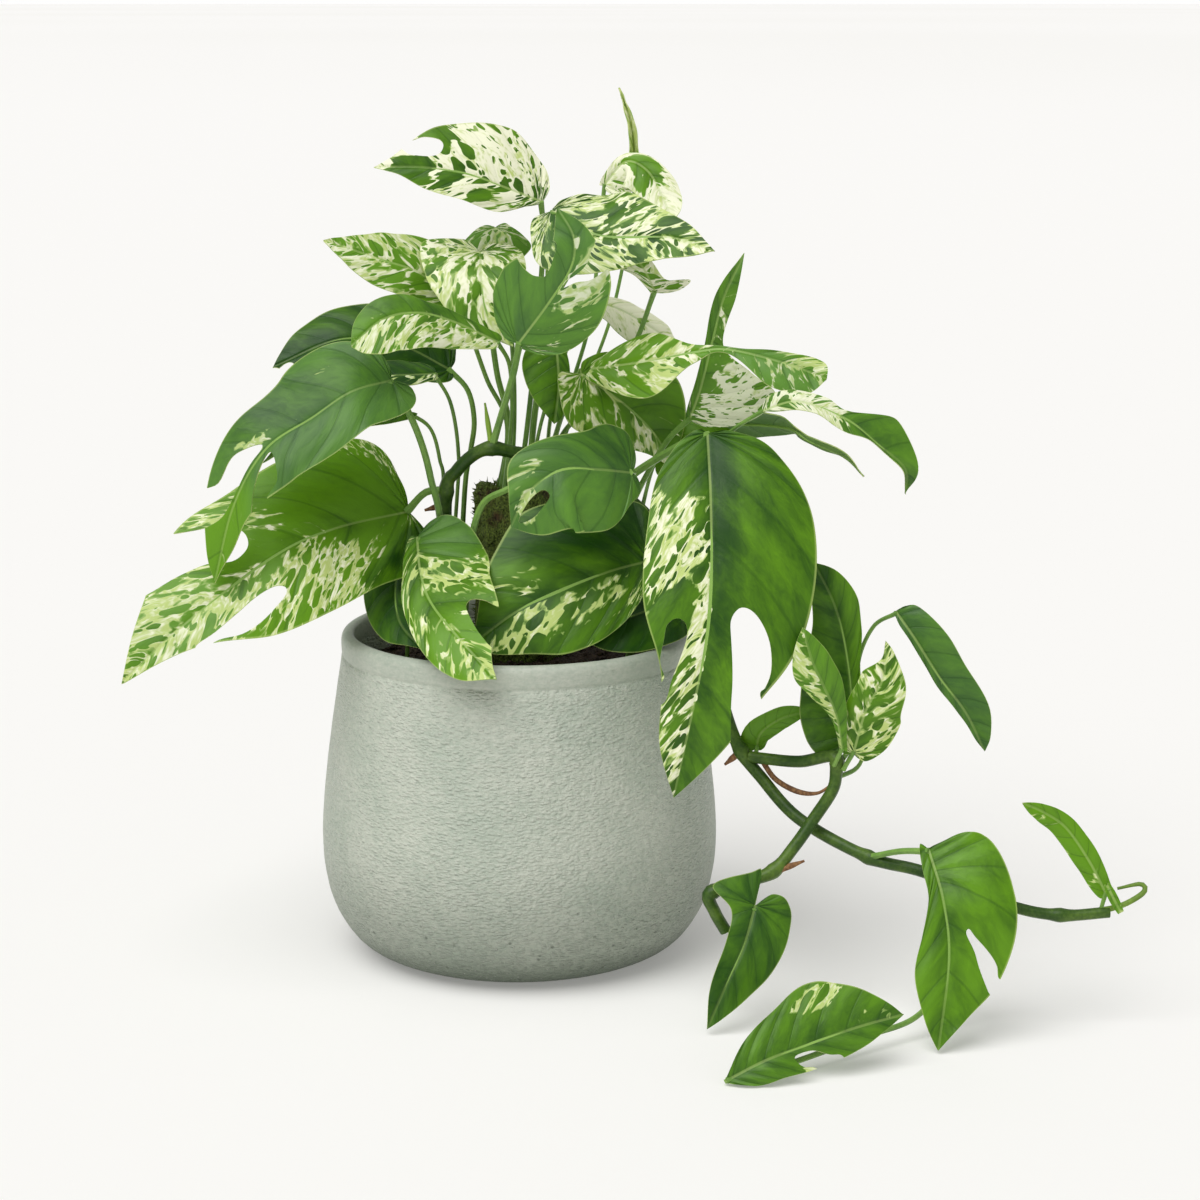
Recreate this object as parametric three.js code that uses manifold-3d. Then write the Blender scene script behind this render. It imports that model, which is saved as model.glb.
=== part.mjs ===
// A potted marble king pothos: a glazed pot of soil, a moss stake, two vines and their leaves.
// Millimetres, +Z up. The origin is the centre of the pot's foot, and the front is towards -Y.
import * as THREE from "three";
import Module from "manifold-3d";
import { mergeVertices } from "three/addons/utils/BufferGeometryUtils.js";

const wasm = await Module();
wasm.setup();

// Clearance between neighbours that touch on the real plant
const GAP = 0.3;

// Pot, as its radius and height from the foot up to the rim
const POT_SIDES = 36;
const POT_OUTSIDE = [
  [58, 0], [66, 1.5], [75, 6], [82, 14], [87.5, 25], [90.5, 38], [91.5, 51], [91, 66], [89, 86], [86, 108],
  [81.3, 139],
];
const POT_RIM = [[81.4, 146], [79.5, 149.3], [77.5, 150], [75.3, 148.5]];
const POT_INSIDE = [[0, 8], [60, 8], [74, 18], [82, 35], [84.5, 55], [82, 86], [76.8, 132]];

// Soil fills the pot to a little below the rim
const SOIL_TOP = 134;
const SOIL_CROWN = 4;
const SOIL_EDGE = 76.4;
const SOIL_RINGS = 3;

// Moss stake behind the middle of the pot
const STAKE = { x: 0, y: 14, radius: 21, bottom: 60, top: 215, sides: 14, rings: 6 };
// The stake's surface swells and sinks by this much, in this many ribs that wind round it as it rises
const STAKE_ROUGH = 1.5;
const STAKE_RIBS = 5;
const STAKE_WIND = 0.12;

// Blades: side veins run this far towards the tip for each step out, and a half has this many strips across
const BLADE_THICKNESS = 0.8;
const VEIN_SLANT = 1.1;
const ACROSS = 2;
// A blade's halves rise from the midrib and droop again towards the margin, in degrees
const LIFT = 8;
const DROOP = 25;
// A blade's rows, counted in spans between the points of its outline
const OUTLINE_SPANS = 7;
const ROWS = [0, 0.7, 1.4, 2.2, 3, 3.8, 4.6, 5.4, 6.1, 6.6, 7];
// How far a split is cut in front of the blade and behind it
const SPLIT_DEPTH = 4;

// Stems
const STALK_SIDES = 5;
const VINE_SIDES = 7;
const VINE_STEP = 12;
const STALK_STEP = 24;
const STALK_THIN = 1;
const STALK_THICK = 2;
const STALK_PER_WIDTH = 0.024;
const VINE_RADIUS = 2.9;
const VINE_SHORT_RADIUS = 2.7;
const NODE_RADIUS = 3.7;
const NODE_SIDES = 7;
const ROOT_RADIUS = 1.2;

const VINE_LONG = [
  [-31, 0, 122], [-32, -5, 164], [-32, -13, 214], [-27, -16, 225], [-19, -18, 233], [-11, -19, 236],
  [-2, -17, 234], [8, -14, 232], [22, -12, 228], [42, -13, 218], [62, -18, 201], [78, -30, 174],
  [87, -44, 145], [94, -52, 120], [100, -56, 106], [108, -60, 96], [125, -74, 80], [154, -92, 68],
  [177, -104, 65], [213, -110, 52], [235, -111, 48], [256, -110, 49],
];
const VINE_LONG_TIP = [[250, -110, 49], [262, -109, 52], [271, -107, 57], [270, -105, 60], [260, -105, 58]];
const VINE_LONG_NODES = [[-31, -14, 216], [-11, -19, 236], [100, -56, 106], [154, -92, 68], [235, -111, 48]];
const VINE_SHORT = [
  [104, -58, 104], [109, -61, 104], [125, -70, 105], [139, -80, 110], [140, -82, 102], [138, -84, 95],
  [130, -86, 83], [122, -90, 72.5], [112, -94, 62], [98, -97, 58], [85, -100, 54], [87, -100, 46],
  [92, -100, 37],
];
const VINE_SHORT_NODES = [[140, -81, 107], [112, -94, 62], [85, -100, 54]];
const AERIAL_ROOT = [[109, -61, 103], [115, -63, 95], [124, -74, 92.5], [132, -82, 94], [138, -83, 98]];
// Dried stubs: a brown sheath at the left of the long vine's arch, roots at the arch and beside the rim,
// and one on the short vine
const SHEATH_STUB = [[-31, -8, 209], [-42, -9, 206]];
const RIM_STUB = [[100, -56, 106], [93, -53, 99]];
const ARCH_STUB = [[-11, -19, 236], [-14, -16, 256]];
const SHORT_STUB = [[113, -94, 62], [126, -94, 67]];
const STUB_RADIUS = 1.5;

// A plain side of a blade, as spots along the midrib and out from it
function plain(length, width) {
  const shares = [[-0.05, 0.4], [0.02, 0.76], [0.22, 1], [0.48, 0.9], [0.72, 0.58], [0.88, 0.27]];
  return shares.map(([along, out]) => [along * length, out * width]);
}

const LEAVES = [
  {
    name: "leaf_left_marbled", on: "vine_long", green: 0x6c9440, face: [-0.15, -0.9, 0.4],
    stalk: [[-31, -14, 216], [-41, -13, 215]],
    rib: [[-49, -12, 206], [-81, -34, 202], [-107, -50, 192], [-145, -70, 165], [-170, -78, 142]],
    left: [[-4, 14], [-2, 27], [26, 31], [60, 35], [92, 30], [122, 12]],
    right: [[-2, 16], [2, 37], [28, 42], [68, 38], [97, 37], [128, 19]],
    cuts: [
      [
        [98, 40], [96, 37], [87, 31], [78, 26], [74, 18], [75, 12], [79, 9], [86, 9], [95, 15], [108, 19],
        [122, 21.5], [130, 26], [116, 44],
      ],
      [
        [122, -14], [113, -16], [104, -20.5], [94, -21.5], [84, -20], [77, -18], [75, -15], [79, -12],
        [88, -11], [99, -11.5], [112, -12], [122, -11],
      ],
    ],
  },
  {
    name: "leaf_left_dark", on: "soil", green: 0x3f7a3c, face: [-0.3, -0.85, 0.45],
    stalk: [[-38, -22, 120], [-34, -20, 194], [-38, -27, 224], [-42, -33, 242], [-48, -36, 257]],
    rib: [
      [-54, -38, 269], [-71, -46, 265], [-87, -54, 255], [-107, -60, 242], [-121, -64, 218], [-130, -66, 184],
    ],
    left: [[-7, 8], [0, 17], [39, 20], [70, 19], [92, 10], [112, 5]],
    right: [[-2, 8], [3, 18], [24, 30], [54, 20.5], [76, 19.5], [112, 8]],
    cuts: [
      [
        [94, 18], [87, 11], [76, 11], [70, 8], [64.5, 3.5], [66, 1.5], [74, 1.5], [90, 1.5], [101, 4.5],
        [108, 16],
      ],
      [
        [86, -19], [83, -14], [73, -14], [66, -8], [64, -3], [68, -2.5], [78, -5], [89, -8.5], [97, -12],
        [94, -20],
      ],
    ],
  },
  {
    name: "leaf_left_hidden", on: "soil", green: 0x3f7a3c, face: [-0.3, -0.8, 0.5],
    stalk: [[-42, 4, 120], [-34, -4, 210], [-35, -7, 229], [-39, -11, 244]],
    rib: [[-48, -16, 252], [-73, -28, 250], [-95, -36, 243], [-111, -42, 233]],
    left: plain(67, 5),
    right: plain(67, 12),
    cuts: [],
  },
  {
    name: "leaf_back_left", on: "soil", green: 0x35702f, face: [-0.1, -0.75, 0.65],
    stalk: [[-30, 18, 120], [-25, 12, 208], [-22, 11, 229], [-20, 10, 244], [-23, 12, 258]],
    rib: [[-31, 14, 267], [-54, 16, 278], [-81, 12, 281], [-111, 6, 269]],
    left: [[-3, 4], [4, 10], [20, 14], [40, 18], [62, 16], [77, 9]],
    right: [[0, 6], [6, 14], [22, 20], [42, 20], [60, 16], [76, 8]],
    cuts: [
      [[79, -14], [77, -7], [77, -3], [79, -1], [82, -1.5], [86, -6]],
    ],
  },
  {
    name: "leaf_left_strip", on: "soil", green: 0x8bab54, face: [0, -0.5, 0.85],
    stalk: [[-36, 10, 120], [-28, 3, 208], [-27, 1, 232], [-30, -3, 254]],
    rib: [[-36, -8, 268], [-46, -12, 268], [-62, -16, 268], [-75, -22, 267]],
    left: [[0, 3], [4, 5], [14, 7], [26, 6], [34, 4], [40, 2]],
    right: [[0, 4], [4, 8], [14, 12], [26, 11], [34, 8], [40, 3]],
    cuts: [],
  },
  {
    name: "leaf_mid_low", on: "moss_stake", green: 0x7da35a, face: [0, -0.85, 0.5],
    stalk: [[-8, -2, 199], [-3, -6, 240], [-2, -10, 258], [-3, -18, 274]],
    rib: [[-7, -26, 284], [-26, -34, 294], [-41, -42, 299], [-56, -48, 297], [-70, -54, 286]],
    left: [[0, 2], [4, 5], [24, 13], [50, 17], [66, 14], [74, 7]],
    right: [[0, 3], [6, 4], [20, 4], [36, 6], [50, 10], [66, 8]],
    cuts: [],
  },
  {
    name: "leaf_left_striped", on: "moss_stake", green: 0x7fae62, face: [-0.1, -0.8, 0.6],
    stalk: [[-12, 22, 199], [-5, 12, 240], [-14, 10, 263], [-22, 6, 286]],
    rib: [[-30, 0, 302], [-44, -4, 313], [-60, -8, 319], [-85, -12, 328]],
    left: [[-3, 5], [4, 10], [20, 14], [36, 13], [48, 9], [57, 4]],
    right: [[-3, 8], [2, 15], [18, 18], [34, 15], [46, 9], [56, 4]],
    cuts: [],
  },
  {
    name: "leaf_mid_marbled", on: "moss_stake", green: 0xa9c07c, face: [0, -0.85, 0.5],
    stalk: [[-10, 12, 199], [-4, 2, 241], [-9, -3, 268], [-13, -6, 301]],
    rib: [[-16, -4, 322], [-15, -16, 310], [-12, -21, 295], [-1, -23, 282]],
    left: [[-4, 5], [-3, 13], [1, 19], [12, 20], [28, 13], [40, 7]],
    right: [[-6, 5], [-8, 12], [-9, 26], [8, 25.5], [24, 19], [38, 7]],
    cuts: [],
  },
  {
    name: "leaf_back_top", on: "moss_stake", green: 0x6a9263, face: [0, -0.85, 0.5],
    stalk: [[-5, 28, 199], [-2, 20, 243], [-3, 22, 280], [-7, 24, 311]],
    rib: [[-10, 20, 331], [-10, 13, 317], [-9, 8, 302]],
    left: [[-2, 4], [0, 7.5], [4, 13], [9, 16.5], [17, 11], [25, 5]],
    right: [[-1, 3], [0, 7], [4, 12], [9, 14.5], [17, 10], [25, 5]],
    cuts: [],
  },
  {
    name: "leaf_top_left", on: "moss_stake", green: 0xc3d193, face: [0, -0.9, 0.4],
    stalk: [[-2, 20, 199], [4, 12, 240], [9, 8, 286], [12, 4, 327]],
    rib: [[12, -2, 344], [-5, -8, 351], [-21, -12, 357], [-41, -14, 360], [-62, -14, 360]],
    left: [[2, 2], [10, 6.5], [20, 12], [38, 12], [54, 10], [68, 3.5]],
    right: [[-1, 7], [4, 16], [20, 27], [38, 24.5], [54, 18.5], [67, 7]],
    cuts: [
      [
        [62, 5.3], [54, 5.3], [50, 7], [48.8, 11], [51, 13.5], [57, 14], [61, 12.3], [64, 11], [68, 10],
        [65, 7],
      ],
    ],
  },
  {
    name: "leaf_top_right", on: "moss_stake", green: 0x93b168, face: [0.1, -0.85, 0.5],
    stalk: [[4, 12, 199], [7, 2, 241], [13, -2, 287], [15, -6, 323]],
    rib: [[16, -14, 341], [37, -24, 331], [68, -36, 331], [87, -44, 326]],
    left: [[1, 7], [8, 16], [22, 24], [38, 22], [54, 13], [68, 6]],
    right: [[-4, 9], [2, 18], [14, 25], [32, 17], [48, 13], [66, 9]],
    cuts: [],
  },
  {
    name: "leaf_top_back", on: "moss_stake", green: 0xc0cf8a, face: [0, -0.85, 0.5],
    stalk: [[5, 26, 199], [19, 22, 243], [33, 30, 288], [37, 34, 329]],
    rib: [[39, 32, 349], [49, 28, 360], [59, 24, 356], [66, 18, 344], [70, 10, 334]],
    left: [[-1, 2], [4, 3], [14, 4], [28, 7], [40, 9], [50, 6]],
    right: [[0, 5], [4, 11], [16, 14], [30, 12], [42, 8], [50, 4]],
    cuts: [],
  },
  {
    name: "leaf_spike", on: "moss_stake", green: 0x7fae45, face: [0, -1, 0], lift: 60, droop: 1,
    stalk: [[9, 29, 199], [24, 28, 242], [42, 36, 287], [52, 40, 335]],
    rib: [[53, 40, 351], [53, 40, 365], [51, 38, 379], [46, 36, 393]],
    left: plain(44, 4),
    right: plain(44, 4),
    cuts: [],
  },
  {
    name: "leaf_upper_right", on: "moss_stake", green: 0xa5bf5e, face: [0, -0.8, 0.6],
    stalk: [[12, 16, 199], [19, 6, 236], [40, -4, 260], [53, -10, 282]],
    rib: [[62, -16, 305], [55, -18, 318], [44, -16, 326], [32, -12, 329]],
    left: [[0, 1.5], [5, 3], [14, 6], [24, 10], [34, 14], [41, 8]],
    right: [[-3, 5], [-5, 12], [-4, 18], [3, 7], [14, 5], [30, 3]],
    cuts: [],
  },
  {
    name: "leaf_centre_heart", on: "vine_long", green: 0x4c7d45, face: [-0.05, -0.9, 0.4],
    stalk: [[-11, -19, 236], [-6, -24, 253], [-1, -34, 270]],
    rib: [[2, -46, 286], [15, -54, 304], [25, -58, 320], [26, -56, 333], [19, -50, 345]],
    left: [[-2, 8], [4, 20], [15, 26], [28, 25], [44, 13], [60, 8]],
    right: [[0, 4], [6, 13], [15, 20], [30, 23.5], [42, 19.5], [54, 9]],
    cuts: [
      [[50, 20], [46.3, 15], [42, 10], [39, 5], [34, 1.5], [37, 0.8], [41, 3], [46, 6], [51, 7.5], [57, 14]],
      [
        [32, -28], [29, -22], [29, -14], [31, -10], [33, -8], [37, -8], [45, -8.5], [56, -8], [60, -16],
        [44, -30],
      ],
    ],
  },
  {
    name: "leaf_centre_round", on: "soil", green: 0x47803f, face: [0, -0.9, 0.4],
    stalk: [[-26, -34, 120], [-19, -28, 201], [-3, -32, 220], [24, -36, 228], [50, -40, 228]],
    rib: [[51, -50, 230], [37, -60, 233], [21, -66, 234], [7, -70, 225], [-1, -72, 210]],
    left: [[-2, 1.5], [-4, 8], [4, 16], [16, 27], [48, 28], [65, 17]],
    right: [[-3, 6], [-1, 17], [10, 22], [30, 15.5], [48, 16], [57, 7]],
    cuts: [
      [[54, -2.5], [48, -3.3], [46, -5.5], [47, -8], [52, -9], [60, -8], [65, -4.5], [65.5, -2], [60, -2]],
    ],
  },
  {
    name: "leaf_front_big", on: "soil", green: 0x45832a, face: [0, -0.9, 0.45],
    stalk: [[44, -4, 120], [61, -20, 167], [64, -24, 181]],
    rib: [[59, -36, 188], [41, -46, 185], [17, -54, 177], [0, -57, 169], [-20, -58, 154]],
    left: [[2, 6], [12, 17], [26, 25], [42, 28], [60, 25], [82, 12]],
    right: [[-8, 12], [-6, 28], [20, 38], [46, 40], [62, 28], [80, 9]],
    cuts: [],
  },
  {
    name: "leaf_front_under", on: "soil", green: 0x2f6420, face: [0, -0.85, 0.5],
    stalk: [[50, -12, 120], [62, -24, 156]],
    rib: [[70, -26, 168], [50, -44, 164], [22, -56, 158]],
    left: [[-8, 5], [-7, 12], [6, 18], [28, 17], [42, 12], [50, 6]],
    right: [[0, 3], [4, 7], [14, 12], [28, 13], [40, 10], [48, 4]],
    cuts: [],
  },
  {
    name: "leaf_rim_left", on: "soil", green: 0x39702c, face: [-0.3, -0.8, 0.5],
    stalk: [[-52, -2, 120], [-50, 4, 174]],
    rib: [[-46, -4, 190], [-54, -20, 178], [-52, -40, 162], [-40, -57, 152]],
    left: [[-2, 5], [4, 8], [20, 9], [36, 9], [52, 8], [62, 4]],
    right: [[-2, 8], [2, 14], [16, 16], [34, 15], [50, 11], [62, 4]],
    cuts: [],
  },
  {
    name: "leaf_front_left", on: "soil", green: 0x6b9a4e, face: [-0.1, -0.85, 0.5],
    stalk: [[-40, -34, 120], [-39, -34, 179], [-41, -30, 192]],
    rib: [[-44, -32, 198], [-42, -46, 186], [-37, -60, 175], [-25, -78, 164], [-7, -94, 148]],
    left: [[-8, 8], [-6, 20], [12, 30], [38, 29], [64, 22], [80, 6]],
    right: [[0, 3], [8, 6], [20, 8], [38, 13], [62, 16], [79, 12]],
    cuts: [
      [[67, -26], [63, -22], [56, -19.5], [51, -15], [53, -11.5], [60, -9.5], [70, -8], [80, -9], [80, -22]],
    ],
  },
  {
    name: "leaf_right_big", on: "vine_long", green: 0x4f8f1f, face: [0.05, -0.93, 0.35],
    stalk: [[44, -13, 217], [58, -24, 229], [77, -40, 243]],
    rib: [[84, -54, 248], [85, -70, 223], [85, -84, 192], [83, -92, 166], [78, -97, 140], [69, -100, 97]],
    left: [[0, 12], [10, 30], [40, 45], [82, 43], [112, 28], [138, 16]],
    right: [[-1, 6], [10, 17], [32, 26], [76, 29], [112, 16], [140, 11]],
    cuts: [
      [
        [114, 15.5], [111, 15], [105, 18], [95, 18], [88, 17.5], [84.5, 14], [86, 10], [92, 8.5],
        [103, 10], [112, 11.5], [122, 12.5], [124, 18],
      ],
      [
        [124, -34], [111, -27], [107, -28.5], [100, -29.5], [90, -27], [82, -22], [78, -17], [78, -12.5],
        [83, -9.5], [91, -10.5], [107, -14], [122, -16.5], [140, -22],
      ],
    ],
  },
  {
    name: "leaf_mid_right", on: "moss_stake", green: 0x8aa94c, face: [0, -0.85, 0.5],
    stalk: [[11, 4, 199], [17, -1, 237], [23, -9, 256]],
    rib: [[28, -20, 271], [55, -31, 276], [77, -38, 281], [93, -42, 283], [116, -46, 278], [136, -48, 271]],
    left: [[6, 3], [32, 14], [54, 4], [74, 1.5], [94, 5], [111, 7]],
    right: [[6, 6], [32, 17], [54, 5], [70, 2], [92, 12], [109, 10]],
    cuts: [],
  },
  {
    name: "leaf_mid_right_low", on: "leaf_mid_right", green: 0x8aa94c, face: [0.1, -0.85, 0.5],
    stalk: [[24, -10, 259]],
    rib: [[29, -24, 270], [48, -20, 256], [62, -12, 241], [70, -8, 226]],
    left: [[-2, 6], [6, 16], [24, 24], [40, 28], [49, 18], [56, 7]],
    right: [[-9, 6], [-3, 15], [8, 23], [24, 20], [44, 12], [58, 4]],
    cuts: [],
  },
  {
    name: "leaf_folded", on: "moss_stake", green: 0x3c7a22, face: [0, -1, 0.1],
    stalk: [[4, 0, 199], [9, -7, 237], [15, -9, 261]],
    rib: [[18, -12, 281], [19, -18, 264], [17, -20, 247]],
    left: [[0, 3], [2, 4], [8, 5], [18, 5], [26, 4], [32, 3]],
    right: [[-2, 5], [-1, 12], [6, 16], [16, 15], [25, 11], [31, 5]],
    cuts: [],
  },
  {
    name: "leaf_right_spear", on: "vine_long", green: 0x6d9a63, face: [0.1, -0.95, 0.1],
    stalk: [[52, -15, 211], [60, -19, 227], [68, -24, 241]],
    rib: [[77, -28, 250], [82, -28, 265], [87, -26, 285], [92, -24, 304], [101, -20, 323]],
    left: [[0, 2], [8, 3], [20, 3], [34, 3], [50, 4], [64, 3]],
    right: [[0, 10], [8, 26], [20, 34], [27, 20], [36, 5], [58, 5]],
    cuts: [],
  },
  {
    name: "leaf_right_grey", on: "vine_long", green: 0x6b8a72, face: [0, 0.75, 0.66],
    stalk: [[56, -15, 207], [62, 2, 225], [71, 9, 236]],
    rib: [[79, 10, 241], [100, 2, 244], [122, -10, 244], [131, -16, 239], [146, -24, 233], [155, -29, 225]],
    left: [[2, 5], [10, 9], [24, 10], [46, 6], [56, 2], [72, 2]],
    right: [[2, 8], [12, 10], [28, 9], [44, 9], [54, 2], [72, 3]],
    cuts: [],
  },
  {
    name: "leaf_right_curl", on: "vine_long", green: 0x5f9448, face: [0.1, -0.8, 0.6],
    stalk: [[66, -20, 196], [82, -32, 232], [95, -46, 248]],
    rib: [
      [107, -56, 258], [123, -62, 263], [143, -66, 256], [157, -66, 245], [169, -64, 234], [170, -58, 222],
    ],
    left: [[3, 4], [9, 6], [28, 5], [40, 4], [58, 16], [76, 6]],
    right: [[2, 1], [14, 4], [28, 4], [42, 5.5], [54, 1.5], [74, 1.2]],
    cuts: [],
  },
  {
    name: "leaf_behind_right", on: "vine_long", green: 0x4f8a2a, face: [0, -0.85, 0.5],
    stalk: [[72, -25, 186], [86, -12, 206], [95, -1, 225]],
    rib: [[91, -3, 235], [80, -4, 237], [71, -5, 232], [64, -6, 221]],
    left: [[-3, 5], [0, 8], [8, 9], [18, 8], [26, 5], [33, 3]],
    right: [[-8, 5], [-5, 9], [8, 10], [18, 9], [26, 6], [33, 3]],
    cuts: [],
  },
  {
    name: "leaf_behind_cream", on: "moss_stake", green: 0xbccb94, face: [0, -0.7, 0.7],
    stalk: [[14, 23, 199], [14, 14, 239], [22, 12, 276]],
    rib: [[29, 6, 299], [44, 8, 296], [60, 10, 287], [72, 10, 278]],
    left: [[2, 2], [8, 4], [20, 6], [30, 7], [40, 6], [46, 3]],
    right: [[2, 4], [10, 8], [22, 12], [32, 12], [41, 8], [46, 4]],
    cuts: [],
  },
  {
    name: "vine_leaf_tall", on: "vine_short", green: 0x2f6f1e, face: [0, -0.95, 0.1],
    stalk: [[143, -80, 109], [146, -74, 111]],
    rib: [[147, -68, 113], [148, -62, 131], [145, -58, 155], [140, -56, 173], [131, -54, 191]],
    left: [[-8, 8], [-3, 17], [12, 23], [34, 20], [56, 12], [72, 7]],
    right: [[0, 3], [10, 5], [32, 5], [48, 8.5], [62, 10.5], [75, 7]],
    cuts: [],
  },
  {
    name: "vine_leaf_light", on: "vine_short", green: 0x6ba03a, face: [0, -1, 0],
    stalk: [[139, -84, 107]],
    rib: [[142, -89, 115], [139, -91, 131], [133, -93, 145], [128, -93, 156], [124, -91, 170]],
    left: [[0, 1], [8, 1.5], [18, 3], [30, 7], [40, 10], [52, 5]],
    right: [[0, 2], [8, 3], [18, 5], [32, 8.5], [45, 7.5], [53, 4]],
    cuts: [],
  },
  {
    name: "vine_leaf_marbled", on: "vine_short", green: 0x77a046, face: [0, -1, 0.1],
    stalk: [[143, -84, 105]],
    rib: [[147, -86, 113], [152, -88, 133], [159, -88, 147], [160, -86, 163]],
    left: [[-1, 4], [5, 7], [14, 9], [26, 9], [38, 9], [45, 1.5]],
    right: [[-2, 6], [5, 13], [18, 16.5], [32, 12.5], [41, 7], [49, 3]],
    cuts: [],
  },
  {
    name: "vine_leaf_outer", on: "vine_short", green: 0x3c7048, face: [-0.2, -0.95, 0.1],
    stalk: [[139, -81, 100], [152, -68, 104], [155, -50, 122], [152, -47, 143], [158, -50, 161]],
    rib: [[167, -58, 170], [175, -64, 159], [186, -66, 142], [198, -66, 126], [207, -64, 108]],
    left: [[1, 5], [5, 9.5], [22, 13], [42, 12], [58, 10], [70, 5]],
    right: [[0, 1], [6, 2], [20, 2.5], [38, 3], [54, 3], [68, 1.5]],
    cuts: [],
  },
  {
    name: "vine_leaf_young", on: "vine_short", green: 0x86b060, face: [0, -1, 0.1],
    stalk: [[106, -60, 103]],
    rib: [[107, -52, 106], [109, -54, 114], [118, -56, 121], [129, -56, 124]],
    left: [[-4, 5], [-2, 8], [4, 8], [14, 6], [22, 5], [29, 3]],
    right: [[0, 2], [3, 4], [10, 5], [18, 5], [24, 4], [29, 2]],
    cuts: [],
  },
  {
    name: "vine_leaf_heart", on: "vine_short", green: 0x3f8030, face: [0.1, -0.95, 0.2],
    stalk: [[92, -100, 38], [99, -101, 39]],
    rib: [[104, -110, 52], [99, -118, 37], [92, -124, 23], [83, -129, 3]],
    left: [[-7, 6], [-6, 13], [2, 17.5], [18, 17], [34, 12.5], [49, 5]],
    right: [[-15, 1.5], [-13, 6], [-3, 20], [5, 9.5], [19, 8], [40, 6]],
    cuts: [],
  },
  {
    name: "vine_leaf_floor", on: "vine_long", green: 0x4b8a2a, face: [0, -0.85, 0.5],
    stalk: [[194, -107, 58], [189, -112, 28], [173, -130, 10], [146, -150, 7], [112, -174, 4]],
    rib: [[88, -186, 2], [104, -184, 10], [120, -178, 14], [142, -170, 19], [163, -162, 22]],
    left: [[4, 3], [15, 11], [30, 18], [47, 24], [60, 20], [73, 10]],
    right: [[4, 3.5], [13, 8.5], [24, 9.5], [42, 10.5], [58, 9], [71, 5]],
    cuts: [
      [[32, 2.5], [30.5, 4.5], [33, 8], [37, 9.5], [41, 13], [50, 13], [50, 8.8], [45, 6.8], [39, 3]],
    ],
  },
  {
    name: "vine_leaf_cut", on: "vine_long", green: 0x4d8c2a, face: [0, -1, 0.1],
    stalk: [[154, -92, 68], [166, -106, 75]],
    rib: [[177, -116, 79], [182, -130, 61], [184, -139, 38], [179, -151, 1.8]],
    left: [[-2, 8], [-3, 18], [4, 27], [30, 30.5], [55, 22], [72, 10]],
    right: [[-3, 3], [8, 5], [22, 6], [38, 11], [56, 14], [76, 7]],
    cuts: [
      [
        [56, -25], [54, -21.5], [50, -20.5], [46, -17.5], [40, -11.5], [36.5, -8.8], [38.5, -7.5],
        [45, -10.5], [51, -12.7], [58, -16.5], [61, -19], [63, -25],
      ],
    ],
  },
  {
    name: "vine_leaf_end", on: "vine_long", green: 0x66a04a, face: [0, -1, 0.1],
    stalk: [[252, -110, 49]],
    rib: [[255, -108, 56], [247, -106, 71], [237, -104, 85], [227, -104, 92], [218, -104, 96]],
    left: [[0, 3], [6, 5], [18, 6], [32, 6], [44, 5], [52, 3]],
    right: [[0, 3], [6, 4], [18, 5], [32, 5], [44, 4], [52, 2]],
    cuts: [],
  },
  {
    name: "vine_leaf_bud", on: "vine_long", green: 0x8fb35c, face: [0, -1, 0.1],
    stalk: [[258, -109, 52]],
    rib: [[254, -114, 62], [257, -115, 56], [260, -115, 50.5]],
    left: plain(20, 2),
    right: plain(20, 2),
    cuts: [],
  },
];

// Bare positions and triangle corners of a geometry, with shared corners merged
function weld(geometry) {
  const bare = geometry.clone();
  bare.deleteAttribute("normal");
  bare.deleteAttribute("uv");
  const merged = mergeVertices(bare, 1e-3);
  const corners = Array.from(merged.index.array);
  const kept = [];
  for (let i = 0; i < corners.length; i += 3) {
    const [a, b, c] = corners.slice(i, i + 3);
    if (a !== b && b !== c && c !== a) kept.push(a, b, c);
  }
  return { spots: merged.attributes.position.array, corners: kept };
}

function signedVolume(spots, corners) {
  const [a, b, c] = [new THREE.Vector3(), new THREE.Vector3(), new THREE.Vector3()];
  let sum = 0;
  for (let i = 0; i < corners.length; i += 3) {
    a.fromArray(spots, corners[i] * 3);
    b.fromArray(spots, corners[i + 1] * 3);
    c.fromArray(spots, corners[i + 2] * 3);
    sum += a.dot(b.cross(c)) / 6;
  }
  return sum;
}

function solidOf(geometry) {
  const { spots, corners } = weld(geometry);
  if (signedVolume(spots, corners) < 0) corners.reverse();
  return new wasm.Manifold(new wasm.Mesh({
    numProp: 3,
    vertProperties: Float32Array.from(spots),
    triVerts: Uint32Array.from(corners),
  }));
}

function geometryOf(solid) {
  const mesh = solid.getMesh();
  const geometry = new THREE.BufferGeometry();
  geometry.setAttribute("position", new THREE.BufferAttribute(Float32Array.from(mesh.vertProperties), 3));
  geometry.setIndex(Array.from(mesh.triVerts));
  return geometry;
}

function vectors(points) {
  return points.map((point) => new THREE.Vector3(...point));
}

function smoothCurve(points) {
  return new THREE.CatmullRomCurve3(vectors(points), false, "catmullrom", 0.5);
}

// A round stem of one radius along a smooth curve
function tube(points, radius, sides, stepLength) {
  const curve = smoothCurve(points);
  const ring = [];
  for (let i = 0; i < sides; i += 1) {
    const turn = (2 * Math.PI * i) / sides;
    ring.push(new THREE.Vector2(radius * Math.cos(turn), radius * Math.sin(turn)));
  }
  const steps = Math.max(2, Math.round(curve.getLength() / stepLength));
  return new THREE.ExtrudeGeometry(new THREE.Shape(ring), { steps, extrudePath: curve });
}

function halfWidth(outline) {
  return Math.max(...outline.map(([, out]) => out));
}

function outlineCurve(outline, length) {
  const spots = [[0, 0], ...outline, [length, 0]];
  return new THREE.SplineCurve(spots.map(([along, out]) => new THREE.Vector2(along, out)));
}

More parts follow.
